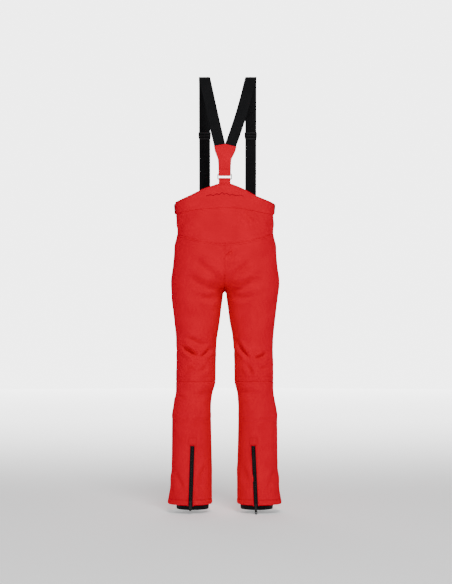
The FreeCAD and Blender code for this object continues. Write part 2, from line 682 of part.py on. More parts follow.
def strap(side):
    """One elastic strap: up the front from its ring, over the shoulder and down the back to the fork.

    At its foot it loops round the ring and comes back up to the adjuster as a second ply.
    """
    ply, half = size("webbing_ply"), size("webbing") / 2
    x = size(f"{side}_strap_x")
    foot, contact, angle = front_line()
    front = band_face(foot, angle, 0.0, ply).extrude(Vector(2 * half, 0, 0))
    front.translate(Vector(x - half, 0, 0))
    back_foot, _, back_angle = back_line()
    slab = band_face(back_foot, back_angle, 0.0, ply).extrude(Vector(2 * REACH, 0, 0))
    slab.translate(Vector(-REACH, 0, 0))
    fork_x, fork_z, crown = size(f"{side}_fork_x"), size("fork_level"), size("shoulder_level") + 5
    lean = (x - fork_x) / (size("shoulder_level") - fork_z)
    across = half * math.hypot(1, lean)
    reach, tilt = half / math.hypot(1, lean), half * lean / math.hypot(1, lean)
    top = x + 5 * lean
    corners = [(fork_x - reach, fork_z + tilt), (fork_x + reach, fork_z - tilt),
               (top + across, crown), (top - across, crown)]
    window = Part.Face(Part.makePolygon([Vector(a, 0, b) for a, b in corners + corners[:1]]))
    back = slab.common(window.extrude(Vector(0, REACH, 0)))
    tail = return_ply(foot, contact, ply).extrude(Vector(2 * half, 0, 0))
    tail.translate(Vector(x - half, 0, 0))
    whole = front.fuse([back, tail, eye_solid(x, half, foot)]).cut(eye_bore(x, half, foot))
    return feature(f"{side}_strap", whole.removeSplitter())


def return_ply(foot, contact, ply):
    """The webbing's second ply, from the ring up to the adjuster, as a face in the YZ plane."""
    run = Vector(0, contact[0] - foot[0], contact[1] - foot[1]).normalize()
    outward = Vector(0, -run.z, run.y)
    spacing = ply + size("ply_gap")
    low = Vector(0, *foot) + outward * (size("eye_bore") + ply / 2) + run * 0.5
    knee = Vector(0, *foot) + outward * spacing + run * 30
    end = Vector(0, *foot) + outward * spacing + run * ((size("adjuster_level") + 6 - foot[1]) / run.z)
    shift = outward * (ply / 2)
    outer = [low + shift, knee + shift, end + shift]
    inner = [end - shift, knee - shift, low - shift]
    return Part.Face(Part.makePolygon(outer + inner + outer[:1]))


def eye_solid(x, half, bar):
    """Outside of a fabric loop round a ring's bar."""
    radius = size("eye_bore") + size("eye_wall")
    return Part.makeCylinder(radius, 2 * half, Vector(x - half, bar[0], bar[1]), X_AXIS)


def eye_bore(x, half, bar):
    """Bore of a fabric loop, which runs on a ring's bar."""
    return Part.makeCylinder(size("eye_bore"), 2 * half + 2, Vector(x - half - 1, bar[0], bar[1]), X_AXIS)


def y_yoke():
    """Red cloth piece where both straps meet, from the back ring up to the fork."""
    foot, contact, _ = back_line()
    ply, run = size("yoke_ply"), Vector(0, contact[0] - foot[0], contact[1] - foot[1]).normalize()
    outward = Vector(0, run.z, -run.y)
    low, high = Vector(-REACH, *foot), Vector(-REACH, *foot) + run * 140
    # The straps' feet butt against the wings, so the plate stands on the same plane as they do.
    shift = outward * (ply / 2)
    slab = Part.Face(Part.makePolygon([low - shift, low + shift, high + shift, high - shift, low - shift]))
    slab = slab.extrude(Vector(2 * REACH, 0, 0))
    tail, waist, wing = size("yoke_tail"), size("yoke_waist"), size("yoke_wing")
    half, fork = size("webbing") / 2, size("fork_level")
    left, right, crown = size("left_fork_x"), size("right_fork_x"), size("shoulder_level")
    tops = {}
    for side, x in (("left", left), ("right", right)):
        lean = (size(f"{side}_strap_x") - x) / (crown - fork)
        stretch = math.hypot(1, lean)
        tops[side] = [(x + s * half / stretch, fork - s * half * lean / stretch - 0.2) for s in (1, -1)]
    middle = foot[1] + 40
    outline_points = [(-tail, foot[1]), (-waist, middle), (-waist - 6, middle + 27)]
    outline_points += [tops["right"][1], tops["right"][0], tops["left"][1], tops["left"][0]]
    outline_points += [(waist + 6, middle + 27), (waist, middle), (tail, foot[1])]
    outline_points = [(min(max(px, -wing - 4), wing + 2), pz) for px, pz in outline_points]
    window = Part.Face(Part.makePolygon([Vector(a, 0, b) for a, b in outline_points + outline_points[:1]]))
    plate = slab.common(window.extrude(Vector(0, REACH, 0)))
    whole = plate.fuse(eye_solid(0, tail, foot)).cut(eye_bore(0, tail, foot))
    return feature("suspender_yoke", whole.removeSplitter())


def loop_tab(label, x, half, bar, low, ply):
    """Cloth tab sewn to the garment at its foot, with a loop round a ring's lower bar at its top."""
    plate = Part.makeBox(2 * half, ply, bar[1] - low, Vector(x - half, bar[0] - ply / 2, low))
    whole = plate.fuse(eye_solid(x, half, bar)).cut(eye_bore(x, half, bar))
    return feature(label, whole.removeSplitter())


def adjuster_body():
    """Webbing adjuster in its own frame: X across the strap, Y out of it, Z up it. Bars cross both faces."""
    half, foot = "Sizes.adjuster_width / 2", "Sizes.adjuster_width / 2 - 2"
    rise = "Sizes.adjuster_height / 2"
    frame = [(f"-1 * ({foot} - 2)", f"-{rise}"), (f"{foot} - 2", f"-{rise}"), (foot, f"2 - {rise}"),
             (half, "-3"), (half, f"{rise} - 2"), (f"{half} - 2", rise), (f"2 - {half}", rise),
             (f"-{half}", f"{rise} - 2"), (f"-{half}", "-3"), (f"-1 * ({foot})", f"2 - {rise}")]
    body, _ = prism("adjuster_master", frame, "-Sizes.adjuster_depth / 2", "Sizes.adjuster_depth", "Y")
    doc.recompute()
    inner = "Sizes.webbing / 2 + 0.6"
    wall = "Sizes.adjuster_depth / 2 - Sizes.adjuster_wall"
    pocket(body, "adjuster_channel", rectangle(f"-1 * ({inner})", inner, f"-1 * ({wall})", wall), "Z")
    gap = "Sizes.adjuster_height / 2 - Sizes.adjuster_bar"
    window = "Sizes.webbing / 2 - 1.5"
    for low, high, name in (("1.6", gap, "upper"), (f"-1 * ({gap})", "-1.6", "lower")):
        pocket(body, f"adjuster_{name}_window", rectangle(f"-1 * ({window})", window, low, high), "Y")
    return body


def suspenders():
    """Straps, Y-shaped yoke, rings, adjusters and tabs."""
    made = [strap("left"), strap("right"), y_yoke()]
    back_ring = Vector(0, size("back_ring_depth"), size("back_ring_level"))
    made.append(wire_ring("back_ring", Placement(back_ring, Rotation())))
    rise = size("ring_height") / 2 - size("ring_bar")
    low_bar = (size("back_ring_depth"), size("back_ring_level") - rise)
    tail, foot = size("yoke_tail"), size("bib_tab_low")
    made.append(loop_tab("back_bib_tab", 0, tail, low_bar, foot, size("yoke_ply")))
    master = adjuster_body()
    doc.recompute()
    foot, contact, _ = front_line()
    run = Vector(0, contact[0] - foot[0], contact[1] - foot[1]).normalize()
    outward = Vector(0, -run.z, run.y)
    middle = Vector(0, *foot) + run * ((size("adjuster_level") - foot[1]) / run.z)
    middle = middle + outward * ((size("webbing_ply") + size("ply_gap")) / 2)
    print("front run", tuple(run), "foot", foot)
    for side in ("left", "right"):
        x = size(f"{side}_strap_x")
        base = Vector(x, middle.y, middle.z)
        place = Placement(axes_matrix(-X_AXIS, outward, run, base))
        made.append(copy_at(f"{side}_strap_adjuster", master, place))
        ring = Vector(x, size("front_ring_depth"), size("front_ring_level"))
        made.append(wire_ring(f"{side}_front_ring", Placement(ring, Rotation())))
        bar = (size("front_ring_depth"), size("front_ring_level") - rise)
        half = size("front_tab_width") / 2
        made.append(loop_tab(f"{side}_front_tab", x, half, bar, size("front_tab_low"), size("cloth")))
    return made


def disc(label, base, facing, radius, height, rounding=0.0):
    """Round metal disc that stands on base and faces along facing, with an optional rolled front edge."""
    shape = Part.makeCylinder(radius, height, base, facing)
    if rounding:
        rim_edges = [e for e in shape.Edges if (e.CenterOfMass - base).dot(facing) > 0.9 * height]
        shape = shape.makeFillet(rounding, rim_edges)
    return feature(label, shape)


def front_normal(body, x, level):
    """Direction that the front of the garment faces at one place."""
    reach = 2.0
    across = Vector(2 * reach, body.depth(x + reach, level, -1) - body.depth(x - reach, level, -1), 0)
    along = Vector(0, body.depth(x, level + reach, -1) - body.depth(x, level - reach, -1), 2 * reach)
    return across.cross(along).normalize()


def snaps(body):
    """Press studs of the waist closure and of the front tabs: caps outside, studs on the band behind them."""
    level, radius, height = size("snap_level"), size("snap_radius"), size("snap_height")
    stud_radius, stud_height, gap = size("stud_radius"), size("stud_height"), size("snap_gap")
    caps, studs, made, behind = [], [], [], []
    rolled = 0.6 * height
    for x in (-12.0, -30.0):
        facing = front_normal(body, x, level)
        base = Vector(x, body.depth(x, level, -1), level) + facing * (size("closure_outer") + gap)
        caps.append(disc("cap", base, facing, radius, height, rolled))
        behind.append(x)
    for side in ("left", "right"):
        x = size(f"{side}_strap_x")
        outside = size("front_ring_depth") - size("cloth") / 2
        base = Vector(x, outside, level)
        made.append(disc(f"{side}_tab_snap", base, -Y_AXIS, radius, height, rolled))
        behind.append(x)
    for x in behind:
        facing = front_normal(body, x, level)
        base = Vector(x, body.depth(x, level, -1), level) + facing * gap
        studs.append(disc("stud", base, facing, stud_radius, stud_height))
    return made + [group("closure_snap_caps", *caps), group("band_snap_studs", *studs)]


def export(kept):
    """Checks every kept piece and writes one STEP file each."""
    bad = [item.Label for item in doc.Objects if {"Invalid", "Error"} & set(item.State)]
    for item in kept:
        if item.Shape.isNull() or not item.Shape.isValid() or not item.Shape.Solids:
            bad.append(item.Label)
    if bad:
        raise RuntimeError(f"pieces that failed: {sorted(set(bad))}")
    os.makedirs(OUT, exist_ok=True)
    for name in os.listdir(OUT):
        if name.endswith(".step"):
            os.remove(os.path.join(OUT, name))
    for item in kept:
        item.Shape.exportStep(os.path.join(OUT, f"{item.Label}.step"))
        print(f"{item.Label:26s} solids {len(item.Shape.Solids)} volume {item.Shape.Volume:10.1f}")


def main():
    fill_sheet()
    body, leg, cuff = Form(UPPER), Form(LOWER), Form(GAITER)
    kept = garment_panels(body, leg, cuff) + waist_trim(body) + zips(body, leg) + zip_garages(leg)
    kept += suspenders() + snaps(body)
    doc.recompute()
    export(kept)


main()
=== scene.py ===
"""Looks of the ski pants: cloth with seams and folds, elastic suspenders, zips, gaiters and a soft studio.

Row frame, in metres: +Z up, +X the wearer's left, +Y the back, which the camera sees.
"""

import json
import math

import bmesh
import bpy
import numpy as np
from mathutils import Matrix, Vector


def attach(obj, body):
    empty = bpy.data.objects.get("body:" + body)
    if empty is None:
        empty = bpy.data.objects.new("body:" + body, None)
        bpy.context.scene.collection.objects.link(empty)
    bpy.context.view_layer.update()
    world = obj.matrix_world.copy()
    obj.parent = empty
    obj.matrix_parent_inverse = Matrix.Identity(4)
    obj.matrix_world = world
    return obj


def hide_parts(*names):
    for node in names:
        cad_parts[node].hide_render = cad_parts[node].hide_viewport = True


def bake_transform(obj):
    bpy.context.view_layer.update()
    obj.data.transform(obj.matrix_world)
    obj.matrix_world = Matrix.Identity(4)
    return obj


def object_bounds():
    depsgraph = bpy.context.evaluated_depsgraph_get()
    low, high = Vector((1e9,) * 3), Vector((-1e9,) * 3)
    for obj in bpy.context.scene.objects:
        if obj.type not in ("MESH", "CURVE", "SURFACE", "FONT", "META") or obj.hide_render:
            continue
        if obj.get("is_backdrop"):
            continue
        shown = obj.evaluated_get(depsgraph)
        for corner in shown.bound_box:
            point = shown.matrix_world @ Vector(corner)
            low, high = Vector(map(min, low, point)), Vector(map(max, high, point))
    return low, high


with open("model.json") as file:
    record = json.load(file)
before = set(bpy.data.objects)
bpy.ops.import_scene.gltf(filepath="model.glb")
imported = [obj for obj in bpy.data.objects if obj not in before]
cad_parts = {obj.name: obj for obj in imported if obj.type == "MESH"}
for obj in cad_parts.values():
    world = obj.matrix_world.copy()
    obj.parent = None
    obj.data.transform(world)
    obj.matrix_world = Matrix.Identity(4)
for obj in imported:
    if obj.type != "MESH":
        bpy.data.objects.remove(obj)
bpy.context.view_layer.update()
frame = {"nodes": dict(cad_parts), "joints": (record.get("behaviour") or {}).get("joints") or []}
JOINTS = {joint["name"]: joint for joint in frame["joints"]}

# Sections of the left half, in millimetres: level, centre x, centre y, half-width, half-depth, squareness.
BODY = [
    (76, 0, -2, 183, 97, 2.4), (0, 0, 0, 183, 100, 2.4), (-44, 0, 2, 180, 104, 2.4), (-110, 0, 5, 175, 110, 2.35),
    (-166, 0, 8, 186, 117, 2.3), (-233, 27, 8, 164, 119, 2.2), (-285, 72, 4, 126, 112, 2.1),
    (-320, 99.5, 0, 98, 102, 2.0), (-366, 104, -3, 91, 97, 2.0), (-433, 104, -6, 83, 89, 2.0),
    (-545, 107, -12, 72, 77, 2.0), (-655, 108, -4, 72, 77, 2.0), (-704, 114, 2, 67, 74, 2.0),
    (-788, 122.5, 6, 72, 78, 2.0), (-966, 121.5, 4, 74, 79, 2.0), (-1110, 126.5, 0, 80, 84, 2.0),
]
CUFF = [
    (-800, 121.5, 5, 65, 70, 2.0), (-960, 119, 2, 62, 66, 2.0), (-1113, 118.5, 0, 60, 64, 2.0),
    (-1129, 118.5, 0, 59, 63, 2.0),
]
PLY = 0.0016  # softshell
DOUBLE_PLY = 0.003  # bib and waistband
HALF_WIDTH = 0.183  # waist
CLOTH_PITCH = 0.0055  # size of the cloth mesh's faces
STITCH_INSET = 0.0022  # seam stitching from the cloth's edge
WAIST_BOTTOM, KNEE_TOP, KNEE_BOTTOM, HEM = -44, -446, -659, -1110  # seam levels, in millimetres


# ---------------------------------------------------------------- form


def smooth(t):
    t = np.clip(t, 0.0, 1.0)
    return t * t * (3 - 2 * t)


class Form:
    """Smooth body form through a run of sections; angle 0 is the outer side and pi/2 the back."""

    def __init__(self, rows):
        table = np.array(sorted(rows), float)
        self.levels = table[:, 0] / 1000
        self.columns = table[:, 1:] * np.array([0.001] * 4 + [1.0])
        step = np.diff(self.columns, axis=0) / np.diff(self.levels)[:, None]
        a, b = step[:-1], step[1:]
        inner = np.where(a * b > 0, 2 * a * b / np.where(a + b == 0, 1, a + b), 0.0)
        self.slopes = np.vstack([step[:1], inner, step[-1:]])

    def at(self, level):
        level = np.clip(level, self.levels[0], self.levels[-1])
        i = np.clip(np.searchsorted(self.levels, level, side="right") - 1, 0, len(self.levels) - 2)
        width = (self.levels[i + 1] - self.levels[i])[..., None]
        t = (level - self.levels[i])[..., None] / width
        c, s = self.columns, self.slopes
        value = (2 * t**3 - 3 * t**2 + 1) * c[i] + (t**3 - 2 * t**2 + t) * width * s[i]
        value += (3 * t**2 - 2 * t**3) * c[i + 1] + (t**3 - t**2) * width * s[i + 1]
        return [value[..., k] for k in range(5)]

    def point(self, angle, level):
        cx, cy, half_width, half_depth, squareness = self.at(level)
        across = np.abs(np.cos(angle)) / half_width
        along = np.abs(np.sin(angle)) / half_depth
        radius = (across**squareness + along**squareness) ** (-1 / squareness)
        return np.stack([cx + radius * np.cos(angle), cy + radius * np.sin(angle), level + 0 * radius], -1)

    def inner_angle(self, level):
        """Angle at which a leg's section meets the garment's centre plane, or pi where it stays clear of it."""
        cx, _, half_width, half_depth, squareness = self.at(level)
        share = np.clip(cx / half_width, 0, 1)
        back = half_depth * (1 - share**squareness) ** (1 / squareness)
        return np.where(cx >= half_width, np.pi, np.arctan2(back, -cx))

    def depth(self, x, level, face):
        """Y of the form's back (face 1) or front (face -1) at a place across."""
        cx, cy, half_width, half_depth, squareness = self.at(level)
        share = np.clip(np.abs(x - cx) / half_width, 0, 0.9995)
        return cy + face * half_depth * (1 - share**squareness) ** (1 / squareness)


BODY_FORM, CUFF_FORM = Form(BODY), Form(CUFF)


def arch(side, middle):
    """Seam level that passes side at the side seams and middle at the centre, in millimetres."""
    return lambda x: (middle + (side - middle) * (x / HALF_WIDTH) ** 2) / 1000


def bib_rim(x):
    beyond = np.abs(x) - 0.021
    run = 0.5 * (beyond + np.hypot(beyond, 0.008))
    return 0.069 - 0.066 * run / (HALF_WIDTH - 0.021)


def flat(level):
    return lambda x: level / 1000 + 0 * x


WAIST_SEAM, YOKE_SEAM = arch(WAIST_BOTTOM, -24), arch(-111, -152)


# ---------------------------------------------------------------- folds


def lattice(cell, seed):
    """Repeatable pseudo-random value from -1 to 1 for each cell corner."""
    n = cell[..., 0] * 374761393 + cell[..., 1] * 668265263 + cell[..., 2] * 2147483647 + seed * 1274126177
    n = (n ^ (n >> 13)) * 1274126177
    n = n ^ (n >> 16)
    return (n & 0xFFFF) / 32767.5 - 1.0


def noise(points, scale, seed=0):
    """Smooth noise over space, with a size of feature for each axis."""
    q = points / np.array(scale)
    base = np.floor(q).astype(np.int64)
    f = smooth(q - base)
    total = 0.0
    for corner in np.ndindex(2, 2, 2):
        c = np.array(corner)
        weight = np.prod(np.where(c == 1, f, 1 - f), axis=-1)
        total = total + weight * lattice(base + c, seed)
    return total


# Creases that show on each face: points (x, z), width, depth, in millimetres. Positive x is the wearer's left.
BACK_CREASES = [
    ([(163, -522), (132, -543), (97, -569)], 9, 3.6),
    ([(52, -536), (68, -552), (90, -575)], 8, 3.0),
    ([(146, -494), (110, -510), (72, -528)], 11, 1.8),
    ([(160, -628), (130, -612), (100, -598)], 10, 1.8),
    ([(62, -600), (84, -618), (112, -630)], 9, 1.4),
    ([(-43, -508), (-67, -545), (-93, -577)], 8, 3.2),
    ([(-157, -555), (-133, -566), (-108, -575)], 9, 3.2),
    ([(-80, -596), (-92, -615), (-106, -637)], 9, 2.2),
    ([(-165, -600), (-145, -612), (-120, -618)], 10, 1.6),
    ([(-34, -176), (-20, -188), (-5, -201)], 6, 1.8),
    ([(-66, -30), (-86, -56), (-106, -84)], 12, 1.6),
    ([(-150, -62), (-164, -84), (-170, -104)], 10, 1.4),
    ([(142, -66), (160, -86), (172, -104)], 10, 1.2),
    ([(8, -308), (50, -262), (108, -214)], 17, 2.2),
    ([(10, -318), (70, -300), (140, -288)], 18, 2.0),
    ([(-8, -308), (-52, -258), (-112, -206)], 17, 2.2),
    ([(-10, -318), (-72, -302), (-146, -280)], 18, 2.0),
    ([(22, -345), (60, -352), (104, -348)], 14, 1.4),
    ([(-24, -342), (-66, -350), (-110, -344)], 14, 1.4),
    ([(186, -980), (168, -1020), (150, -1064)], 12, 1.8),
    ([(-186, -976), (-172, -1022), (-158, -1058)], 12, 1.8),
    ([(60, -700), (92, -708), (126, -700)], 13, 1.5),
    ([(-60, -706), (-96, -700), (-130, -712)], 13, 1.5),
    ([(180, -700), (160, -716), (132, -728)], 12, 1.4),
    ([(66, -960), (84, -1000), (92, -1048)], 12, 1.2),
    ([(-62, -950), (-74, -1000), (-84, -1046)], 12, 1.2),
]
FRONT_CREASES = [
    ([(20, -300), (66, -262), (128, -236)], 14, 2.4),
    ([(16, -320), (70, -300), (150, -286)], 15, 2.0),
    ([(36, -350), (80, -356), (130, -344)], 14, 1.4),
    ([(-20, -296), (-70, -258), (-132, -232)], 14, 2.4),
    ([(-16, -322), (-72, -302), (-150, -282)], 15, 2.0),
    ([(-36, -348), (-82, -354), (-130, -342)], 14, 1.4),
    ([(60, -520), (104, -532), (150, -520)], 12, 1.6),
    ([(-60, -522), (-104, -530), (-150, -516)], 12, 1.6),
    ([(70, -600), (110, -592), (150, -604)], 12, 1.4),
    ([(-70, -602), (-110, -594), (-150, -606)], 12, 1.4),
    ([(70, -1040), (120, -1052), (170, -1036)], 16, 1.6),
    ([(-70, -1044), (-120, -1050), (-172, -1038)], 16, 1.6),
]


# Depth of the creases over the numbers in the tables. The front stays shallow, clear of the pocket bags.
BACK_STRENGTH, FRONT_STRENGTH = 2.8, 1.12


def crease(x, z, line, width, depth):
    """Offset of one crease: a narrow valley along a line with a soft swelling on both sides of it."""
    width, depth = width / 1000, depth / 1000
    line = np.array(line, float) / 1000
    spans = np.linalg.norm(np.diff(line, axis=0), axis=1)
    ahead = np.concatenate([[0], np.cumsum(spans)])
    nearest, place = np.full(x.shape, 1e9), np.zeros(x.shape)
    for i, (a, b) in enumerate(zip(line, line[1:])):
        d = b - a
        t = np.clip(((x - a[0]) * d[0] + (z - a[1]) * d[1]) / (d @ d), 0, 1)
        side = np.hypot(x - a[0] - t * d[0], z - a[1] - t * d[1])
        closer = side < nearest
        nearest = np.where(closer, side, nearest)
        place = np.where(closer, (ahead[i] + t * spans[i]) / ahead[-1], place)
    strength = smooth(np.minimum(place, 1 - place) / 0.34) * 0.85 + 0.15
    s = nearest / width
    return depth * strength * (0.75 * np.exp(-((s - 1.7) ** 2) / 0.9) - np.exp(-(s**2) / 0.55))


def hump(value, centre, width):
    """Bell curve of height 1."""
    return np.exp(-(((value - centre) / width) ** 2))


def folds(points, face):
    """How far the cloth stands off the plain form at each point, in metres."""
    x, z = points[..., 0], points[..., 2]
    total = 0.0009 * noise(points, (0.085, 0.085, 0.12), 3) + 0.0004 * noise(points, (0.03, 0.03, 0.045), 5)
    knee, hem, waist = hump(z, -0.56, 0.055), hump(z, -1.06, 0.06), hump(z, -0.078, 0.03)
    total = total + 0.0012 * knee * noise(points, (0.06, 0.06, 0.017), 7)
    total = total + 0.0011 * hem * noise(points, (0.045, 0.045, 0.05), 11)
    total = total + 0.0009 * waist * noise(points, (0.022, 0.022, 0.05), 13)
    total = total - 0.0011 * hump(z, -1.0898, 0.0030) + 0.0006 * hump(z, -1.099, 0.006)
    creases, strength = (BACK_CREASES, BACK_STRENGTH) if face > 0 else (FRONT_CREASES, FRONT_STRENGTH)
    for line, width, depth in creases:
        total = total + strength * crease(x, z, line, width, depth)
    if face > 0:
        seat = hump(x, 0.0, 0.030) * hump(z, -0.262, 0.062)
        total = total - 0.0075 * seat - 0.0022 * hump(z, -0.806, 0.012) + 0.0012 * hump(z, -0.786, 0.014)
    return total


def uneven(points):
    """Sideways and downward drift of cloth points: how the hanging garment differs from its even pattern."""
    x, y, z = points[..., 0], points[..., 1], points[..., 2]
    rear = smooth((y + 0.04) / 0.05)
    left = np.where(x > 0, 1.0, -1.0)
    apart = smooth((-0.330 - z) / 0.035)
    inner = smooth((0.10 - np.abs(x)) / 0.06) * apart
    inner = inner * np.where(x > 0, 1 - smooth((-0.68 - z) / 0.06), 1 - smooth((-0.42 - z) / 0.07))
    flare = smooth((np.abs(x) - 0.13) / 0.06) * smooth((-1.05 - z) / 0.05)
    hip = smooth((-x - 0.09) / 0.07) * rear * smooth((z + 0.37) / 0.07) * smooth((-0.05 - z) / 0.05)
    sag = smooth((-x - 0.05) / 0.08) * rear * smooth((z + 0.13) / 0.10)
    dome = rear * smooth((z - 0.005) / 0.03)
    rise = 0.003 * np.exp(-(((x - 0.08) / 0.035) ** 2)) - 0.002 * smooth((-x - 0.06) / 0.05)
    drift = np.zeros_like(points)
    drift[..., 0] = left * (0.004 * flare - 0.0028 * inner) - 0.004 * hip
    drift[..., 2] = dome * rise - 0.005 * sag
    return drift


# ---------------------------------------------------------------- meshes


def grid_normals(points):
    """Unit normals of a grid of points."""
    normal = np.cross(np.gradient(points, axis=0), np.gradient(points, axis=1))
    length = np.linalg.norm(normal, axis=-1, keepdims=True)
    return normal / np.maximum(length, 1e-12)


def outward(points, normals, centre_x):
    """The same normals, turned to point away from the leg or waist axis."""
    arm = points - np.array([centre_x, 0.0, 0.0])
    arm[..., 2] = 0
    return normals * (1 if (arm * normals).sum() > 0 else -1)


def make_object(name, verts, faces, materials, picks=None, normals=None):
    """Mesh object of closed shells: faces turned outwards, smooth shading, custom normals if given."""
    mesh = bpy.data.meshes.new(name)
    mesh.from_pydata([tuple(v) for v in verts], [], faces)
    for material in materials:
        mesh.materials.append(material)
    if picks is not None:
        mesh.polygons.foreach_set("material_index", np.array(picks, np.int32))
    shell = bmesh.new()
    shell.from_mesh(mesh)
    bmesh.ops.recalc_face_normals(shell, faces=shell.faces)
    shell.to_mesh(mesh)
    shell.free()
    mesh.polygons.foreach_set("use_smooth", np.ones(len(mesh.polygons), bool))
    if normals is not None:
        mesh.normals_split_custom_set_from_vertices([tuple(n) for n in normals])
    mesh.update()
    item = bpy.data.objects.new(name, mesh)
    bpy.context.collection.objects.link(item)
    return item


class Parts:
    """Gathers vertices, faces, material picks and normals of one object."""

    def __init__(self):
        self.verts, self.faces, self.picks, self.normals = [], [], [], []

    def add(self, verts, faces, pick, normals):
        start = len(self.verts)
        self.verts += [tuple(v) for v in verts]
        self.normals += [tuple(n) for n in normals]
        self.faces += [tuple(start + i for i in face) for face in faces]
        self.picks += [pick] * len(faces)

    def build(self, name, materials):
        return make_object(name, self.verts, self.faces, materials, self.picks, self.normals)


def quads(rows, columns):
    """Faces of a grid stored row by row."""
    return [(a, a + columns, a + columns + 1, a + 1)
            for a in (r * columns + c for r in range(rows - 1) for c in range(columns - 1))]


def spaced(length, pitch, edge=0.0007, count=5):
    """Shares from 0 to 1 along a length: close together at both ends, then an even pitch."""
    near, step = [0.0], edge
    for _ in range(count):
        near.append(near[-1] + step)
        step *= 1.45
    middle = max(int((length - 2 * near[-1]) / pitch), 2)
    inner = np.linspace(near[-1], length - near[-1], middle + 1)[1:-1]
    return np.concatenate([near, inner, length - np.array(near[::-1])]) / length


class Panel:
    """One cut piece of cloth between two border angles and a top and a bottom seam.

    Positions, normals and distances from the borders are kept, so that stitches can follow the seams.
    """

    def __init__(self, form, begin, finish, seams, face, mirror=False, roll=(1, 1, 1, 1)):
        probe = np.linspace(0, 1, 9)
        levels = self.solve(form, begin, finish, seams, probe)
        middle = levels.mean(axis=0)
        width = 0.0
        for i in range(len(seams)):
            line = form.point(self.turn(begin, finish, probe, levels[:, i]), levels[:, i])
            width = max(width, np.linalg.norm(np.diff(line, axis=0), axis=1).sum())
        shares = spaced(width, CLOTH_PITCH)
        levels = self.solve(form, begin, finish, seams, shares)
        rows = []
        for i in range(len(seams) - 1):
            piece = spaced(abs(middle[i] - middle[i + 1]), CLOTH_PITCH)
            if i > 0:
                piece = piece[5:]
            if i < len(seams) - 2:
                piece = piece[:-5]
            piece = (piece - piece[0]) / (piece[-1] - piece[0])
            rows.append(i + (piece if i == 0 else piece[1:]))
        self.splits = [sum(len(r) for r in rows[: i + 1]) - 1 for i in range(len(seams) - 2)]
        place = np.concatenate(rows)
        low = np.minimum(place.astype(int), len(seams) - 2)
        part = place - low
        grid = levels[:, low] * (1 - part) + levels[:, low + 1] * part
        angle = self.turn(begin, finish, shares[:, None], grid)
        points = form.point(angle, grid).transpose(1, 0, 2)
        if mirror:
            points[..., 0] *= -1
        centre = points[..., 0].mean()
        normals = outward(points, grid_normals(points), centre if len(seams) > 2 or abs(centre) > 0.05 else 0.0)
        down = self.run(points, 0)
        over = self.run(points, 1)
        self.edge = [down, down[-1:] - down, over, over[:, -1:] - over]
        lift = folds(points, face)
        for distance, amount in zip(self.edge, roll):
            lift = lift * (1 - 0.55 * amount * np.exp(-distance / 0.006))
            lift = lift - amount * (0.0014 * hump(distance, 0.0, 0.0024) - 0.0005 * hump(distance, 0.0065, 0.0035))
        self.points = points + normals * lift[..., None] + uneven(points)
        if len(seams) > 2:
            joined = points[:, -1:, 2] > -0.330
            off = np.where(joined, -self.points[:, -1:, 0], 0.0)
            self.points[..., 0] += off * np.exp(-self.edge[3] / 0.012)
        self.normals = outward(self.points, grid_normals(self.points), centre if abs(centre) > 0.05 else 0.0)

    @staticmethod
    def turn(begin, finish, share, level):
        return begin(level) + (finish(level) - begin(level)) * share

    def solve(self, form, begin, finish, seams, shares):
        """Level of each seam at each share of the way across."""
        found = []
        for rule in seams:
            level = rule(np.zeros(len(shares)))
            for _ in range(60):
                x = form.point(self.turn(begin, finish, shares, level), level)[:, 0]
                level = 0.5 * level + 0.5 * rule(x)
            found.append(level)
        return np.array(found).T

    @staticmethod
    def run(points, axis):
        """Distance along the cloth from the first row or column to each point."""
        steps = np.linalg.norm(np.diff(points, axis=axis), axis=-1)
        zero = np.zeros_like(steps[:1] if axis == 0 else steps[:, :1])
        return np.concatenate([zero, np.cumsum(steps, axis=axis)], axis=axis)

    def line(self, border, distance):
        """Points and normals along a line at a distance from one border (0 top, 1 bottom, 2 first, 3 last)."""
        table, axis = self.edge[border], 0 if border < 2 else 1
        points, normals, table = [np.moveaxis(a, axis, 0) for a in (self.points, self.normals, table)]
        if border in (1, 3):
            points, normals, table = points[::-1], normals[::-1], table[::-1]
        out_points, out_normals = [], []
        for i in range(points.shape[1]):
            for source, out in ((points, out_points), (normals, out_normals)):
                out.append([np.interp(distance, table[:, i], source[:, i, k]) for k in range(3)])
        return np.array(out_points), np.array(out_normals)

    def cloth(self, parts, first=0, last=None, ply=PLY):
        """Adds rows first to last as a closed sheet: outer face, lining and rims."""
        last = len(self.points) - 1 if last is None else last
        sheet_grid(parts, self.points[first:last + 1], self.normals[first:last + 1], ply, 0, 1)


THREAD_RADIUS = 0.00032


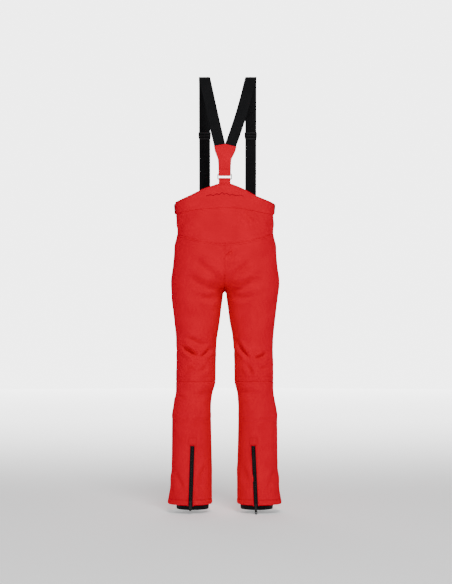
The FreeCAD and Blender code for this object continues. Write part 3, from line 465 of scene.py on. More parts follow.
def stitches(parts, points, normals, pitch=0.0034, length=0.0025, pick=2):
    """Row of thread stitches along a line of points: short bars that dip into the cloth at both ends."""
    steps = np.linalg.norm(np.diff(points, axis=0), axis=1)
    run = np.concatenate([[0], np.cumsum(steps)])
    count = int(run[-1] / pitch)
    if count < 1:
        return
    starts = (np.arange(count) + 0.2) * run[-1] / count
    ring = [(math.cos(a), math.sin(a)) for a in np.arange(5) * 2 * math.pi / 5]
    shares, rise = (0.0, 0.25, 0.75, 1.0), (-0.9, 0.55, 0.55, -0.9)

    def at(place, source):
        return np.stack([np.interp(place, run, source[:, k]) for k in range(3)], -1)

    centres = np.stack([at(starts + s * length, points) for s in shares], 1)
    up = at(starts + length / 2, normals)
    up /= np.linalg.norm(up, axis=1, keepdims=True)
    ahead = centres[:, -1] - centres[:, 0]
    ahead /= np.maximum(np.linalg.norm(ahead, axis=1, keepdims=True), 1e-9)
    side = np.cross(up, ahead)
    verts, norms = [], []
    for k in range(4):
        middle = centres[:, k] + up * THREAD_RADIUS * rise[k]
        for c, s in ring:
            arm = side * c + up * s
            verts.append(middle + arm * THREAD_RADIUS)
            norms.append(arm)
    verts = np.stack(verts, 1)
    norms = np.stack(norms, 1)
    faces = []
    for n in range(count):
        for k in range(3):
            for j in range(5):
                a, b = k * 5 + j, k * 5 + (j + 1) % 5
                faces.append(tuple(n * 20 + i for i in (a, b, b + 5, a + 5)))
        faces += [tuple(range(n * 20, n * 20 + 5)), tuple(range(n * 20 + 15, n * 20 + 20))]
    parts.add(verts.reshape(-1, 3), faces, pick, norms.reshape(-1, 3))


# ---------------------------------------------------------------- materials


def material(name, color, rough, metallic=0.0, sheen=0.0, coat=0.0, gloss=0.5):
    item = bpy.data.materials.new(name)
    item.use_nodes = True
    shader = item.node_tree.nodes["Principled BSDF"]
    values = {"Base Color": (*color, 1), "Roughness": rough, "Metallic": metallic, "Sheen Weight": sheen,
              "Sheen Roughness": 0.5, "Coat Weight": coat, "Specular IOR Level": gloss}
    for key, value in values.items():
        shader.inputs[key].default_value = value
    return item


def node(item, kind, **values):
    made = item.node_tree.nodes.new(kind)
    for key, value in values.items():
        if key in made.inputs:
            made.inputs[key].default_value = value
        else:
            setattr(made, key, value)
    return made


def link(item, source, output, target, socket):
    item.node_tree.links.new(source.outputs[output], target.inputs[socket])


DYE_SCALE = 18.0  # cloudiness of the dye, in patches per metre
GRAIN_SCALE, GRAIN_DEPTH = 1400.0, 0.00003  # moulded grain of hard pieces


def cloth_material(name, dark, light, rough, sheen=0.0, grain=900.0, bump=0.00025, weave=None, gloss=0.07):
    """Cloth: uneven dye between two colours, a fine grain of yarn as bump and, if asked, a woven rib."""
    item = material(name, light, rough, sheen=sheen, gloss=gloss)
    shader = item.node_tree.nodes["Principled BSDF"]
    place = node(item, "ShaderNodeTexCoord")
    cloud = node(item, "ShaderNodeTexNoise", Scale=DYE_SCALE, Detail=4.0)
    yarn = node(item, "ShaderNodeTexNoise", Scale=grain, Detail=2.0)
    mix = node(item, "ShaderNodeMix", data_type="RGBA")
    mix.inputs["A"].default_value = (*dark, 1)
    mix.inputs["B"].default_value = (*light, 1)
    ramp = node(item, "ShaderNodeMapRange")
    ramp.inputs["From Min"].default_value, ramp.inputs["From Max"].default_value = 0.3, 0.7
    for texture in (cloud, yarn):
        link(item, place, "Object", texture, "Vector")
    blend = node(item, "ShaderNodeMath", operation="MULTIPLY_ADD")
    blend.inputs[1].default_value, blend.inputs[2].default_value = 0.55, 0.0
    link(item, yarn, "Fac", blend, 0)
    total = node(item, "ShaderNodeMath", operation="MULTIPLY_ADD")
    total.inputs[1].default_value = 0.45
    link(item, cloud, "Fac", total, 0)
    link(item, blend, 0, total, 2)
    link(item, total, 0, ramp, "Value")
    link(item, ramp, "Result", mix, "Factor")
    link(item, mix, "Result", shader, "Base Color")
    raised = node(item, "ShaderNodeBump", Strength=0.55, Distance=bump)
    link(item, yarn, "Fac", raised, "Height")
    if weave:
        wave = node(item, "ShaderNodeTexWave", Scale=weave[0], bands_direction=weave[1], Distortion=0.6)
        wave.inputs["Detail Scale"].default_value = 2.0
        link(item, place, "Object", wave, "Vector")
        rib = node(item, "ShaderNodeBump", Strength=0.7, Distance=weave[2])
        link(item, wave, "Fac", rib, "Height")
        link(item, raised, "Normal", rib, "Normal")
        raised = rib
    link(item, raised, "Normal", shader, "Normal")
    return item


def hard_material(name, color, rough, metallic=0.0, coat=0.0):
    """Plastic or painted metal with a fine moulded grain and slightly uneven gloss."""
    item = material(name, color, rough, metallic, coat=coat, gloss=0.3)
    shader = item.node_tree.nodes["Principled BSDF"]
    place = node(item, "ShaderNodeTexCoord")
    texture = node(item, "ShaderNodeTexNoise", Scale=GRAIN_SCALE, Detail=3.0)
    link(item, place, "Object", texture, "Vector")
    raised = node(item, "ShaderNodeBump", Strength=0.4, Distance=GRAIN_DEPTH)
    link(item, texture, "Fac", raised, "Height")
    link(item, raised, "Normal", shader, "Normal")
    patches = node(item, "ShaderNodeTexNoise", Scale=60.0, Detail=2.0)
    link(item, place, "Object", patches, "Vector")
    gloss = node(item, "ShaderNodeMapRange")
    gloss.inputs["To Min"].default_value, gloss.inputs["To Max"].default_value = rough * 0.85, rough * 1.2
    link(item, patches, "Fac", gloss, "Value")
    link(item, gloss, "Result", shader, "Roughness")
    return item


RED = cloth_material("red_softshell", (0.620, 0.001, 0.017), (0.770, 0.002, 0.022), 0.9, gloss=0.0)
LINING = cloth_material("fleece_lining", (0.030, 0.030, 0.034), (0.052, 0.052, 0.058), 0.95, 0.5, 500.0, 0.0008)
THREAD = cloth_material("red_thread", (0.38, 0.002, 0.010), (0.50, 0.003, 0.013), 0.7, 0.0, 2500.0, 0.00008,
                        gloss=0.0)
WEBBING = cloth_material("black_elastic", (0.0045, 0.0045, 0.005), (0.010, 0.010, 0.011), 0.7, 0.0, 1500.0,
                         0.0001, (330.0, "Z", 0.00035))
BLACK_THREAD = cloth_material("black_thread", (0.008, 0.008, 0.009), (0.016, 0.016, 0.018), 0.5, 0.1, 2500.0,
                              0.00008)
GAITER = cloth_material("gaiter_nylon", (0.006, 0.006, 0.007), (0.012, 0.012, 0.014), 0.6, 0.0, 1100.0, 0.0001)
TAPE = cloth_material("zip_tape_weave", (0.006, 0.006, 0.007), (0.012, 0.012, 0.013), 0.75, 0.0, 1800.0, 0.0001,
                      (260.0, "DIAGONAL", 0.0001))
TEETH = hard_material("zip_coil", (0.012, 0.012, 0.013), 0.35)
SLIDER = hard_material("black_zinc", (0.014, 0.014, 0.015), 0.32, 0.6, coat=0.2)
PULL = hard_material("black_pull_rubber", (0.010, 0.010, 0.011), 0.48)
RING = hard_material("black_wire_paint", (0.006, 0.006, 0.007), 0.55)
PLASTIC = hard_material("black_acetal", (0.006, 0.006, 0.007), 0.55)
SNAP = hard_material("gunmetal_snap", (0.045, 0.045, 0.048), 0.3, 0.9)
HOOK = cloth_material("hook_loop_pile", (0.004, 0.004, 0.005), (0.020, 0.020, 0.022), 0.95, 0.6, 800.0, 0.0009)
MOTIF = cloth_material("dark_red_embroidery", (0.20, 0.002, 0.007), (0.30, 0.003, 0.010), 0.6, 0.0, 2200.0,
                       0.0001, (420.0, "DIAGONAL", 0.00015))
CLOTH = [RED, LINING, THREAD]


# ---------------------------------------------------------------- trousers


def half_turn(level):
    return np.pi + 0 * level


def nothing(level):
    return 0.0 * level


def seam_stitches(parts, panel, borders, distances=(STITCH_INSET,)):
    """Rows of topstitching that follow some of a panel's borders."""
    for border in borders:
        for distance in distances:
            points, normals = panel.line(border, distance)
            stitches(parts, points, normals)


def place_piece(item, body, nodes):
    """Ties a finished piece to its body and hides the CAD nodes it stands in for."""
    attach(item, body)
    if nodes:
        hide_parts(*nodes)
    return item


def upper_cloth():
    """Bib, back yoke and front waistband, which all stay with the waist."""
    bib = Panel(BODY_FORM, nothing, half_turn, [bib_rim, WAIST_SEAM], 1)
    parts = Parts()
    bib.cloth(parts, ply=DOUBLE_PLY)
    seam_stitches(parts, bib, (0,), (STITCH_INSET, 0.0075))
    seam_stitches(parts, bib, (1,))
    place_piece(parts.build("back_bib_cloth", CLOTH), "trousers", ["back_bib"])

    yoke = Panel(BODY_FORM, nothing, half_turn, [WAIST_SEAM, YOKE_SEAM], 1)
    parts = Parts()
    yoke.cloth(parts)
    place_piece(parts.build("back_yoke_cloth", CLOTH), "trousers", ["back_yoke"])

    for side, mirror in (("left", False), ("right", True)):
        waistband = Panel(BODY_FORM, nothing, lambda level: -np.pi / 2 + 0 * level, [arch(3, -9), flat(WAIST_BOTTOM)],
                          -1, mirror)
        parts = Parts()
        waistband.cloth(parts, ply=DOUBLE_PLY)
        seam_stitches(parts, waistband, (0, 1))
        place_piece(parts.build(f"{side}_front_waistband_cloth", CLOTH), "trousers", [f"{side}_front_waistband"])


def leg_cloth(side, mirror):
    """Front and back of one leg, each cut where it changes from one joint to the next."""
    tilt = math.radians(35)
    away = Vector((-math.sin(tilt) if mirror else math.sin(tilt), 0, -math.cos(tilt)))
    groin = Vector((0, 0, -0.323))
    hip = ("trousers", f"{side}_thigh", groin + away * 0.002, groin + away * 0.102)
    knee = (f"{side}_thigh", f"{side}_calf", Vector((0, 0, -0.450)), Vector((0, 0, -0.632)))

    def piece(panel, name, first, last, rows, joint, nodes):
        parts = Parts()
        panel.cloth(parts, first, last)
        for border, distance in rows:
            points, normals = panel.line(border, distance)
            if border > 1:
                points, normals = points[first:last + 1], normals[first:last + 1]
            stitches(parts, points, normals)
        item = parts.build(name, CLOTH)
        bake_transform(item)
        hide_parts(*nodes)

    for face, label in ((1, "back"), (-1, "front")):
        top, block = (YOKE_SEAM, "seat") if face > 0 else (flat(WAIST_BOTTOM), "front")
        panel = Panel(BODY_FORM, nothing, lambda level: face * BODY_FORM.inner_angle(level),
                      [top, flat(KNEE_TOP), flat(KNEE_BOTTOM)], face, mirror, roll=(1, 1, 1, 0.4))
        split, end = panel.splits[0], len(panel.points) - 1
        side_seam = [(2, STITCH_INSET)] if face > 0 else []
        top_rows = [(0, STITCH_INSET)] + ([(0, 0.0075)] if face > 0 else [])
        knee_rows = [(1, STITCH_INSET), (1, 0.0078), (1, 0.0190)]
        piece(panel, f"{side}_thigh_{label}_cloth", 0, split, top_rows + side_seam + [(3, STITCH_INSET)], hip,
              [f"{side}_{block}_panel", f"{side}_thigh_{label}"])
        piece(panel, f"{side}_knee_{label}_cloth", split, end, knee_rows + side_seam, knee, [f"{side}_knee_panel"])

        shin = Panel(BODY_FORM, nothing, lambda level: face * np.pi + 0 * level, [flat(KNEE_BOTTOM), flat(HEM)], face,
                     mirror)
        parts = Parts()
        shin.cloth(parts)
        seam_stitches(parts, shin, (1,), (0.0185, 0.0212))
        if face > 0:
            seam_stitches(parts, shin, (2,))
        place_piece(parts.build(f"{side}_shin_{label}_cloth", CLOTH), f"{side}_calf", [f"{side}_shin_{label}"])


# ---------------------------------------------------------------- gaiters


def gaiter(side, mirror):
    """Inner snow gaiter: pleated nylon tube and a gathered elastic cuff, seen under the hem."""
    columns = 240
    angles = np.linspace(0, 2 * np.pi, columns + 1)[:-1]
    for label, levels, ply in (("gaiter", np.linspace(-0.802, -1.1128, 60), 0.0007),
                               ("gaiter_elastic", np.linspace(-1.1132, -1.1288, 22), 0.0022)):
        angle, level = np.meshgrid(angles, levels)
        points = CUFF_FORM.point(angle, level)
        centre = CUFF_FORM.at(level)
        arm = points - np.stack([centre[0], centre[1], level], -1)
        arm /= np.linalg.norm(arm, axis=-1, keepdims=True)
        gather = smooth((-0.98 - level) / 0.14)
        ripple = 0.0010 * gather * np.sin(angle * 44 + 1.2 * np.sin(angle * 5)) + 0.0006 * np.sin(angle * 9)
        if label == "gaiter_elastic":
            ripple = 0.0005 * np.sin(angle * 44 + 1.2 * np.sin(angle * 5))
            ripple += 0.00022 * np.cos((level + 1.121) * 2 * np.pi / 0.0026)
        outer, inner = points + arm * ripple[..., None], points + arm * (ripple - ply)[..., None]
        if mirror:
            outer[..., 0] *= -1
            inner[..., 0] *= -1
        rows = len(levels)
        parts = Parts()
        for surface in (outer, inner):
            parts.verts += [tuple(v) for v in surface.reshape(-1, 3)]
        half = rows * columns

        around = [(c, (c + 1) % columns) for c in range(columns)]
        for start in (0, half):
            for low in range(start, start + (rows - 1) * columns, columns):
                parts.faces += [(low + c, low + columns + c, low + columns + d, low + d) for c, d in around]
        for low in (0, (rows - 1) * columns):
            parts.faces += [(low + c, low + d, half + low + d, half + low + c) for c, d in around]
        item = make_object(f"{side}_{label}_cloth", parts.verts, parts.faces, [GAITER])
        place_piece(item, f"{side}_calf", [f"{side}_{label}"])


# ---------------------------------------------------------------- bands, patches and zips


def unit(v):
    return v / np.maximum(np.linalg.norm(v, axis=-1, keepdims=True), 1e-12)


def band(parts, path, side, width, ply, ribs=0):
    """Webbing along a path: a flat section with rounded edges, swept with its width along side."""
    tangent = unit(np.gradient(path, axis=0))
    side = unit(side - tangent * (side * tangent).sum(-1, keepdims=True))
    up = np.cross(side, tangent)
    across = np.concatenate([np.linspace(-1, 1, 15), np.linspace(1, -1, 15)])
    top = np.concatenate([np.ones(15), -np.ones(15)])
    edge = np.clip(1 - np.abs(across), 0, 1) * width / 2 / (ply * 0.45)
    height = np.where(edge < 1, np.sqrt(np.clip(1 - (1 - edge) ** 2, 0, 1)) * 0.5 + 0.02, 0.52)
    height = height * (1 + 0.05 * ribs * np.cos(across * math.pi * 7))
    ring = path[:, None] + side[:, None] * (across * width / 2)[None, :, None] \
        + up[:, None] * (top * height * ply)[None, :, None]
    count, around = len(path), len(across)
    faces = [(a + j, a + around + j, a + around + (j + 1) % around, a + (j + 1) % around)
             for a in range(0, (count - 1) * around, around) for j in range(around)]
    faces += [tuple(range(around)), tuple(range(count * around - 1, (count - 1) * around - 1, -1))]
    edges = np.sign(across) * (np.abs(across) > 0.97)
    away = up[:, None] * top[None, :, None] + side[:, None] * edges[None, :, None]
    parts.add(ring.reshape(-1, 3), faces, 0, unit(away).reshape(-1, 3))


def sleeve(parts, centre, half, outer=0.0034, reach=0.0):
    """Loop of cloth or webbing round a ring's bar; reach draws it out into the ring's opening."""
    angles = np.arange(24) * 2 * math.pi / 24
    spots = []
    for x, radius in ((-half, 0.0019), (-half, outer), (half, outer), (half, 0.0019)):
        spots.append([(centre[0] + x, centre[1] + radius * math.cos(a),
                       centre[2] + radius * math.sin(a) + reach * (reach * math.sin(a) > 1e-9))
                      for a in angles])
    normals = [[(0, s * math.cos(a), s * math.sin(a)) for a in angles] for s in (-1, 1, 1, -1)]
    faces = [(i * 24 + j, i * 24 + (j + 1) % 24, (i + 1) % 4 * 24 + (j + 1) % 24, (i + 1) % 4 * 24 + j)
             for i in range(4) for j in range(24)]
    parts.add(np.array(spots).reshape(-1, 3), faces, 0, np.array(normals, float).reshape(-1, 3))


def sheet_grid(parts, outer, normals, ply, pick=0, lining=0):
    """Closed sheet from a grid of outer points: outer face, inner face and all four rims."""
    rows, columns = outer.shape[:2]
    inner = outer - normals * ply
    count, start = rows * columns, len(parts.verts)
    parts.add(outer.reshape(-1, 3), quads(rows, columns), pick, normals.reshape(-1, 3))
    parts.add(inner.reshape(-1, 3), quads(rows, columns), lining, -normals.reshape(-1, 3))
    loop = list(range(columns)) + list(range(2 * columns - 1, count, columns))
    loop += list(range(count - 2, count - columns - 1, -1)) + list(range(count - 2 * columns, 0, -columns))
    for a, b in zip(loop, loop[1:] + loop[:1]):
        parts.faces.append((start + a, start + b, start + count + b, start + count + a))
        parts.picks.append(pick)


def patch(parts, spot, width, height, ply, lift, pick=0, lining=0, corner=0.10, stitch=None):
    """Rounded cloth patch: spot(u, v) gives points and normals for offsets in metres from its middle."""
    u = spaced(width, 0.004, 0.0005, 3) * 2 - 1
    v = spaced(height, 0.004, 0.0005, 3) * 2 - 1
    v, u = np.meshgrid(v, u, indexing="ij")
    a, b = u * (1 - corner * v**6), v * (1 - corner * u**6)
    points, normals = spot(a * width / 2, b * height / 2)
    border = np.minimum((1 - np.abs(u)) * width / 2, (1 - np.abs(v)) * height / 2)
    rise = lift - 0.0004 * np.exp(-border / 0.0015)
    outer = points + normals * (rise + ply)[..., None]
    sheet_grid(parts, outer, normals, ply, pick, lining)
    if stitch is not None:
        inset_u, inset_v = width / 2 - STITCH_INSET, height / 2 - STITCH_INSET
        loop = [(-1, -1), (1, -1), (1, 1), (-1, 1), (-1, -1)]
        for (au, av), (bu, bv) in zip(loop, loop[1:]):
            t = np.linspace(0.03, 0.97, 24)
            line, up = spot((au + (bu - au) * t) * inset_u, (av + (bv - av) * t) * inset_v)
            stitches(parts, line + up * (ply + lift + 0.0001), up, pick=stitch)


def on_form(form, angle, level, mirror):
    """Spot function for a patch that lies on the body form round one point."""
    def spot(u, v):
        here = form.point(np.array([angle]), np.array([level]))[0]
        step = form.point(np.array([angle + 0.01]), np.array([level]))[0]
        rate = 0.01 / np.linalg.norm(step - here)
        a, z = angle + u * rate, level + v
        points = form.point(a, z)
        du = form.point(a + 0.004, z) - points
        dv = form.point(a, z - 0.002) - points
        normals = unit(np.cross(dv, du))
        if mirror:
            points, normals = points * [-1, 1, 1], normals * [-1, 1, 1]
        return points, normals
    return spot


PIN_DEPTH, PIN_LEVEL = 0.0060, 0.0015  # pull's pin over the tape, and over the slider's lower end
TEETH_PITCH = 0.0021
# Body, distance of the closed slider from the zip's foot, length.
ZIPS = {
    "left_leg": ("left_calf", 0.014, 0.2201), "right_leg": ("right_calf", 0.002, 0.2202),
    "fly": ("trousers", 0.136, 0.1462), "left_pocket": ("trousers", 0.118, 0.1288),
    "right_pocket": ("trousers", 0.118, 0.1288),
}


def zip_cloth(name):
    """Woven tape with a coil of teeth, and the folded cloth edges on both sides of it."""
    body, rest, length = ZIPS[name]
    swing = JOINTS[f"{name}_pull_swing"]
    up = unit(np.array(JOINTS[f"{name}_zip_slide"]["axis"], float))
    across = unit(np.array(swing["axis"], float))
    out = np.cross(up, across)
    low = np.array(swing["pos_m"]) - out * PIN_DEPTH - up * (PIN_LEVEL + rest)
    s = np.linspace(0, length, 60)
    u = np.array([-0.0078, -0.0074, -0.006, -0.004, -0.0026, 0.0, 0.0026, 0.004, 0.006, 0.0074, 0.0078])
    height = np.array([-0.0003, 0.0, 0.0001, 0.0002, 0.0005, 0.0006, 0.0005, 0.0002, 0.0001, 0.0, -0.0003])
    outer = low + s[:, None, None] * up + u[None, :, None] * across + (height + 0.0004)[None, :, None] * out
    parts = Parts()
    sheet_grid(parts, outer, np.broadcast_to(out, outer.shape).copy(), 0.0006)
    for edge in (-0.0057, 0.0057):
        line = low + s[:, None] * up + edge * across + 0.0006 * out
        stitches(parts, line, np.broadcast_to(out, line.shape).copy(), pick=1, pitch=0.0030, length=0.0021)
    box = np.array([(x, y, z) for z in (0, 1) for y in (0, 1) for x in (0, 1)], float)
    sides = [(0, 2, 3, 1), (4, 5, 7, 6), (0, 1, 5, 4), (2, 6, 7, 3), (0, 4, 6, 2), (1, 3, 7, 5)]
    for k in range(int(length / TEETH_PITCH)):
        for hand in (-1, 1):
            tooth = box * [0.0030, 0.0013, 0.00095] + [-0.0004, 0.0007, 0]
            tooth[4:, 1] *= 0.97
            tooth[:, 0] *= hand
            tooth[:, 2] += k * TEETH_PITCH + (TEETH_PITCH / 2 if hand > 0 else 0)
            verts = low + tooth[:, :1] * across + tooth[:, 1:2] * out + tooth[:, 2:] * up
            parts.add(verts, sides, 2, unit(verts - verts.mean(0)))
    item = parts.build(f"{name}_zip_cloth", [TAPE, BLACK_THREAD, TEETH])
    place_piece(item, body, [f"{name}_zip_tape"])

    parts = Parts()
    for hand in (-1, 1):
        line = low + np.linspace(0, length, 50)[:, None] * up + hand * 0.0098 * across
        line[:, 1] = BODY_FORM.depth(np.abs(line[:, 0]), line[:, 2], 1 if out[1] > 0 else -1)
        band(parts, line + out * 0.0008, np.broadcast_to(across, line.shape).copy(), 0.0042, 0.0022)
        thread = line + out * 0.0019 + across * hand * 0.0004
        stitches(parts, thread, np.broadcast_to(out, line.shape).copy(), pick=1)
    place_piece(parts.build(f"{name}_zip_welts", [RED, THREAD]), body, [])


# ---------------------------------------------------------------- suspenders


SHOULDER, SHOULDER_RADIUS = 0.466, 0.055
STRAP_WIDTH, STRAP_PLY = 0.0418, 0.0014
# Place across at the shoulder and at the fork.
STRAPS = {"left": (0.075, 0.018), "right": (-0.0975, -0.022)}
FORK = 0.208
BACK_BAR = np.array(JOINTS["suspenders_swing"]["pos_m"], float)
TAB_BAR = np.array(JOINTS["back_ring_tilt"]["pos_m"], float)


def contact(y, z):
    """Angle round the shoulder arc where the straight run from a point meets it."""
    dz = z - (SHOULDER - SHOULDER_RADIUS)
    swing = math.acos(SHOULDER_RADIUS / math.hypot(y, dz))
    return math.atan2(y, dz) + (swing if y < 0 else -swing)


def arc_spot(angle):
    return (SHOULDER_RADIUS * math.sin(angle), SHOULDER - SHOULDER_RADIUS + SHOULDER_RADIUS * math.cos(angle))


def run_to(start, end, count):
    return [tuple(np.array(start) + (np.array(end) - np.array(start)) * t) for t in np.linspace(0, 1, count)[:-1]]


def strap(side):
    """Elastic strap: doubled part, loop round the front ring, front run, shoulder and back run into the yoke."""
    x, fork_x = STRAPS[side]
    bar = np.array(JOINTS[f"{side}_ring_swing"]["pos_m"], float)
    front, back = contact(bar[1], bar[2]), contact(BACK_BAR[1], BACK_BAR[2])
    line = run_to((bar[1], bar[2] + 0.004), arc_spot(front), 60)
    line += [arc_spot(a) for a in np.linspace(front, back, 30)[:-1]]
    foot = (BACK_BAR[1], BACK_BAR[2])
    top = arc_spot(back)
    share = (top[1] - (FORK - 0.014)) / (top[1] - foot[1])
    end = tuple(np.array(top) + (np.array(foot) - np.array(top)) * share)
    line += run_to(top, end, 50) + [end]
    line = np.array(line)
    lean = (x - fork_x) / (SHOULDER - FORK)
    behind = line[:, 0] > 0
    shift = np.where(behind, (SHOULDER - line[:, 1]) * lean, 0.0)
    bow = np.where(behind, np.sin(np.pi * np.clip((SHOULDER - line[:, 1]) / (SHOULDER - FORK), 0, 1)), 0.0)
    bow = bow * (-0.005 if x < 0 else 0.001)
    path = np.stack([x - shift + bow, line[:, 0], line[:, 1]], -1)
    wave = 0.0006 * noise(path, (0.5, 0.5, 0.07), 21 if side == "left" else 22)
    path[:, 1] += wave
    across = np.zeros_like(path)
    across[:, 0] = 1
    parts = Parts()
    band(parts, path, across, STRAP_WIDTH, STRAP_PLY, ribs=1)
    run = unit(np.array([line[0, 0] - line[40, 0], line[0, 1] - line[40, 1]]))
    out, foot = np.array([run[1], -run[0]]), bar[1:]
    first = foot + out * 0.0024
    second = foot - run * 0.030 + out * 0.0018
    third = foot - run * 0.238 + out * 0.0018
    tail = np.array(run_to(first, second, 12) + run_to(second, third, 40) + [tuple(third)])
    tail = np.stack([np.full(len(tail), x), tail[:, 0], tail[:, 1]], -1)
    band(parts, tail, np.broadcast_to([1.0, 0, 0], tail.shape).copy(), 0.040, STRAP_PLY, ribs=1)
    sleeve(parts, bar, 0.0196, 0.0033)
    for gap in (0.016, 0.019):
        spot = foot - run * gap + out * 0.0028
        row = np.stack([np.linspace(x - 0.017, x + 0.017, 20), np.full(20, spot[0]), np.full(20, spot[1])], -1)
        stitches(parts, row, np.broadcast_to([0.0, *out], row.shape).copy(), pick=1)
    item = parts.build(f"{side}_strap_webbing", [WEBBING, BLACK_THREAD])
    place_piece(item, "suspenders", [f"{side}_strap"])


def yoke_sheet():
    """Red yoke where both straps are sewn in, folded round the back ring at its foot."""
    top = arc_spot(contact(BACK_BAR[1], BACK_BAR[2]))
    rise = np.array([0.0, top[0] - BACK_BAR[1], top[1] - BACK_BAR[2]])
    rise = rise / rise[2]
    out = unit(np.array([0.0, rise[2], -rise[1]]))
    s = spaced(0.062, 0.002, 0.0006, 4) * 2 - 1
    t = spaced(0.105, 0.002, 0.0006, 4)
    t, s = np.meshgrid(t, s, indexing="ij")
    half = np.interp(t, [0, 0.3, 0.5, 0.58, 0.66, 0.79, 0.9, 1.0],
                     [0.0226, 0.0232, 0.0246, 0.0268, 0.0306, 0.0362, 0.0395, 0.0418])
    x = s * half - 0.002 * smooth((t - 0.5) * 2)
    peak = FORK + np.interp(s, [-1, -0.06, 0, 0.06, 1], [-0.006, 0.0045, 0.005, 0.0045, -0.003])
    z = (BACK_BAR[2] + 0.002) + t * (peak - BACK_BAR[2] - 0.002)
    points = BACK_BAR + (z - BACK_BAR[2])[..., None] * rise
    points[..., 0] = x
    border = np.minimum((1 - np.abs(s)) * half, (1 - t) * 0.105)
    swell = 0.0007 * (1 - np.exp(-border / 0.0012)) + 0.0003 * noise(points, (0.02, 0.05, 0.02), 31)
    parts = Parts()
    normals = np.broadcast_to(out, points.shape).copy()
    outer = points + out * (0.0011 + swell)[..., None]
    sheet_grid(parts, outer, normals, 0.0030)
    for column in (3, -4):
        stitches(parts, outer[2:-2, column], normals[2:-2, column], pick=1)
    for row in (-5, -9, 8, 10):
        stitches(parts, outer[row, 3:-3], normals[row, 3:-3], pick=1)
    sleeve(parts, BACK_BAR, 0.0219, reach=-0.0041)
    place_piece(parts.build("suspender_yoke_cloth", [RED, THREAD]), "suspenders", ["suspender_yoke"])


def hanging_tab(body, node_name, bar, half, low):
    """Cloth tab with a loop round a ring's lower bar at its top."""
    facing = np.array([0.0, 1.0 if bar[1] > 0 else -1.0, 0.0])

    def spot(u, v):
        points = np.stack([bar[0] + u, np.full(u.shape, bar[1]), (low + bar[2] - 0.001) / 2 + v], -1)
        return points - facing * 0.0012, np.broadcast_to(facing, points.shape).copy()

    parts = Parts()
    patch(parts, spot, 2 * half, bar[2] - 0.001 - low, 0.0024, 0.0, corner=0.03, stitch=1)
    sleeve(parts, bar, half - 0.0001, reach=0.0014)
    place_piece(parts.build(f"{node_name}_cloth", [RED, THREAD]), body, [node_name])


def suspenders():
    yoke_sheet()
    hanging_tab("trousers", "back_bib_tab", TAB_BAR, 0.0217, 0.040)
    for side in STRAPS:
        strap(side)
        bar = np.array(JOINTS[f"{side}_tab_swing"]["pos_m"], float)
        hanging_tab(f"{side}_tab", f"{side}_front_tab", bar, 0.018, -0.042)


# ---------------------------------------------------------------- waist trim


def waist_trim():
    """Side tabs with their loop patches, and the closure tab at the front."""
    for side, mirror in (("left", False), ("right", True)):
        parts = Parts()
        spot = on_form(BODY_FORM, math.radians(-17.5), -0.022, mirror)
        patch(parts, spot, 0.123, 0.038, 0.0024, 0.0022, 0, 2, corner=0.08, stitch=1)
        item = parts.build(f"{side}_waist_tab_cloth", [RED, THREAD, HOOK])
        place_piece(item, f"{side}_waist_tab_body", [f"{side}_waist_tab"])
        parts = Parts()
        spot = on_form(BODY_FORM, math.radians(-25.5), -0.022, mirror)
        patch(parts, spot, 0.056, 0.030, 0.001, 0.0002, corner=0.08, stitch=1)
        nodes = [] if mirror else ["waist_loop_patches"]
        place_piece(parts.build(f"{side}_loop_patch_pile", [HOOK, BLACK_THREAD]), "trousers", nodes)
    parts = Parts()
    spot = on_form(BODY_FORM, math.radians(-94.5), -0.0272, False)
    patch(parts, spot, 0.064, 0.028, 0.0022, 0.0014, corner=0.12, stitch=1)
    place_piece(parts.build("waist_closure_tab_cloth", [RED, THREAD]), "trousers", ["waist_closure_tab"])


def garages():
    """Stitched patch over the head of each leg zip."""
    level = -0.875
    cx, cy, _, _, _ = [float(v[0]) for v in BODY_FORM.at(np.array([level]))]
    for side, x in (("left", 0.1175), ("right", -0.105)):
        angle = math.atan2(float(BODY_FORM.depth(abs(x), np.array([level]), 1)[0]) - cy, abs(x) - cx)
        parts = Parts()
        patch(parts, on_form(BODY_FORM, angle, level, x < 0), 0.031, 0.029, 0.0011, 0.0004, stitch=1)
        place_piece(parts.build(f"{side}_zip_garage_cloth", [RED, THREAD]), f"{side}_calf", [f"{side}_zip_garage"])


def motif():
    """Generic embroidered ridge line of peaks on the bib, tone on tone."""
    peaks = [(-0.060, 0.000), (-0.048, 0.004), (-0.040, 0.001), (-0.027, 0.008), (-0.020, 0.004), (-0.009, 0.012),
             (0.000, 0.005), (0.007, 0.009), (0.018, 0.002), (0.027, 0.006), (0.040, 0.000), (0.050, 0.003),
             (0.062, -0.001)]
    parts = Parts()
    spot = on_form(BODY_FORM, math.pi / 2, 0.022, False)
    for (ax, az), (bx, bz) in zip(peaks, peaks[1:]):
        t = np.linspace(-0.04, 1.04, 14)
        line, up = spot(ax + (bx - ax) * t, az + (bz - az) * t)
        ahead = unit(line[-1:] - line[:1])
        across = np.cross(np.broadcast_to(up[:1], line.shape), np.broadcast_to(ahead, line.shape))
        band(parts, line + up * 0.0007, across, 0.0017, 0.0008)
    place_piece(parts.build("bib_embroidery", [MOTIF]), "trousers", [])


# ---------------------------------------------------------------- kept CAD pieces


def kept_pieces():
    """Hard pieces keep their CAD shape and get softened edges and a material."""
    paints = {"slider": SLIDER, "pull": PULL, "ring": RING, "adjuster": PLASTIC, "snap": SNAP, "pocket_bag": LINING}
    soften = {"slider": 0.0003, "pull": 0.0004, "adjuster": 0.0005}
    for name, item in frame["nodes"].items():
        if item.hide_render:
            continue
        word = next((w for w in ("pocket_bag", "pull", "slider", "adjuster", "snap", "ring") if w in name), None)
        item.data.materials.clear()
        item.data.materials.append(paints.get(word, RED))
        if word in soften:
            bevel = item.modifiers.new("soft_edges", "BEVEL")
            bevel.width, bevel.segments, bevel.limit_method = soften[word], 2, "ANGLE"
            bevel.angle_limit = math.radians(40)


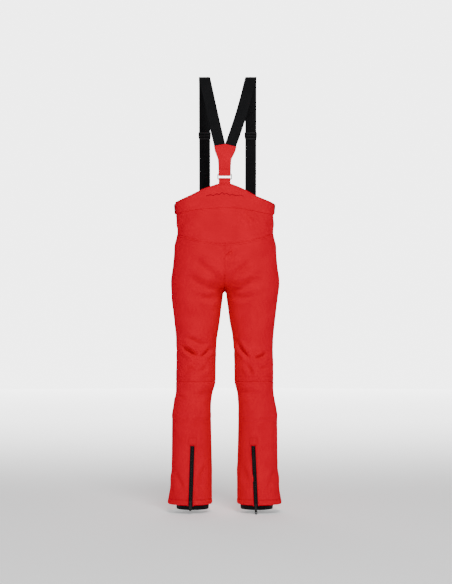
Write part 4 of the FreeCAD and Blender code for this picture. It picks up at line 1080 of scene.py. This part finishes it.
upper_cloth()
for side_name, is_right in (("left", False), ("right", True)):
    leg_cloth(side_name, is_right)
    gaiter(side_name, is_right)
for zip_name in ZIPS:
    zip_cloth(zip_name)
suspenders()
waist_trim()
garages()
motif()
kept_pieces()


# ---------------------------------------------------------------- stage


def area_light(name, place, target, size, power):
    lamp = bpy.data.lights.new(name, "AREA")
    lamp.shape, lamp.size, lamp.size_y, lamp.energy = "RECTANGLE", size[0], size[1], power
    item = bpy.data.objects.new(name, lamp)
    item.location = place
    item.rotation_euler = (Vector(target) - Vector(place)).to_track_quat("-Z", "Y").to_euler()
    bpy.context.collection.objects.link(item)


def glow_paint(name, shade, near, full, start, stop):
    """Surface that glows as painted light, its glow rising from near to full between two depths behind the object."""
    paint = material(name, (shade, shade, shade), 0.9, gloss=0.0)
    shader = paint.node_tree.nodes["Principled BSDF"]
    shader.inputs["Emission Color"].default_value = (1, 1, 1, 1)
    place = node(paint, "ShaderNodeNewGeometry")
    split = node(paint, "ShaderNodeSeparateXYZ")
    link(paint, place, "Position", split, "Vector")
    ramp = node(paint, "ShaderNodeMapRange", interpolation_type="SMOOTHSTEP")
    for key, value in (("From Min", start), ("From Max", stop), ("To Min", near), ("To Max", full)):
        ramp.inputs[key].default_value = value
    link(paint, split, "Y", ramp, "Value")
    link(paint, ramp, "Result", shader, "Emission Strength")
    return paint


def stage():
    """Pale floor inside a dark round wall, both glowing as painted light, with three soft lamps and the camera behind
    the wearer's back.
    """
    low, radius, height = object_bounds()[0][2] - 0.0008, 9.0, 5.0
    bpy.ops.mesh.primitive_circle_add(vertices=96, radius=radius, fill_type="NGON", location=(0, 0, low))
    bpy.context.object.name = "floor"
    # The floor is pale and also glows as painted light, brighter further behind the object; the glow also lights the
    # object from below.
    bpy.context.object.data.materials.append(glow_paint("pale_floor", 0.9, 0.34, 2.7, -0.4, -5.5))
    bpy.context.object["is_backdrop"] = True
    bpy.ops.mesh.primitive_cylinder_add(vertices=96, radius=radius, depth=height, end_fill_type="NOTHING",
                                        location=(0, 0, low + height / 2))
    bpy.context.object.name = "backdrop"
    # The wall's own shade is dark; its paleness is painted light, a glow that rises towards its far side.
    bpy.context.object.data.materials.append(glow_paint("pale_wall", 0.05, 0.42, 4.4, -7.2, -8.6))
    bpy.context.object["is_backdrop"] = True
    world = bpy.data.worlds.new("studio")
    world.use_nodes = True
    world.node_tree.nodes["Background"].inputs["Color"].default_value = (1, 1, 1, 1)
    world.node_tree.nodes["Background"].inputs["Strength"].default_value = 0.08
    bpy.context.scene.world = world
    area_light("key", (-0.7, 3.3, 3.3), (0, 0, -0.40), (1.2, 1.2), 168)
    area_light("fill", (2.6, 3.2, 1.0), (0, 0, -0.4), (2.0, 2.0), 12)
    area_light("front", (0.4, -3.4, 2.0), (0, 0, -0.2), (2.4, 2.0), 40)
    camera = bpy.data.cameras.new("camera")
    camera.sensor_fit = "VERTICAL"
    camera.sensor_height = 24.0
    distance, tall = 7.0, 2.161
    camera.lens = 24.0 * distance / tall
    camera.clip_end = 100
    item = bpy.data.objects.new("camera", camera)
    item.location = (-0.005, distance, -0.329)
    item.rotation_euler = (math.pi / 2, 0, math.pi)
    bpy.context.collection.objects.link(item)
    bpy.context.scene.camera = item


stage()
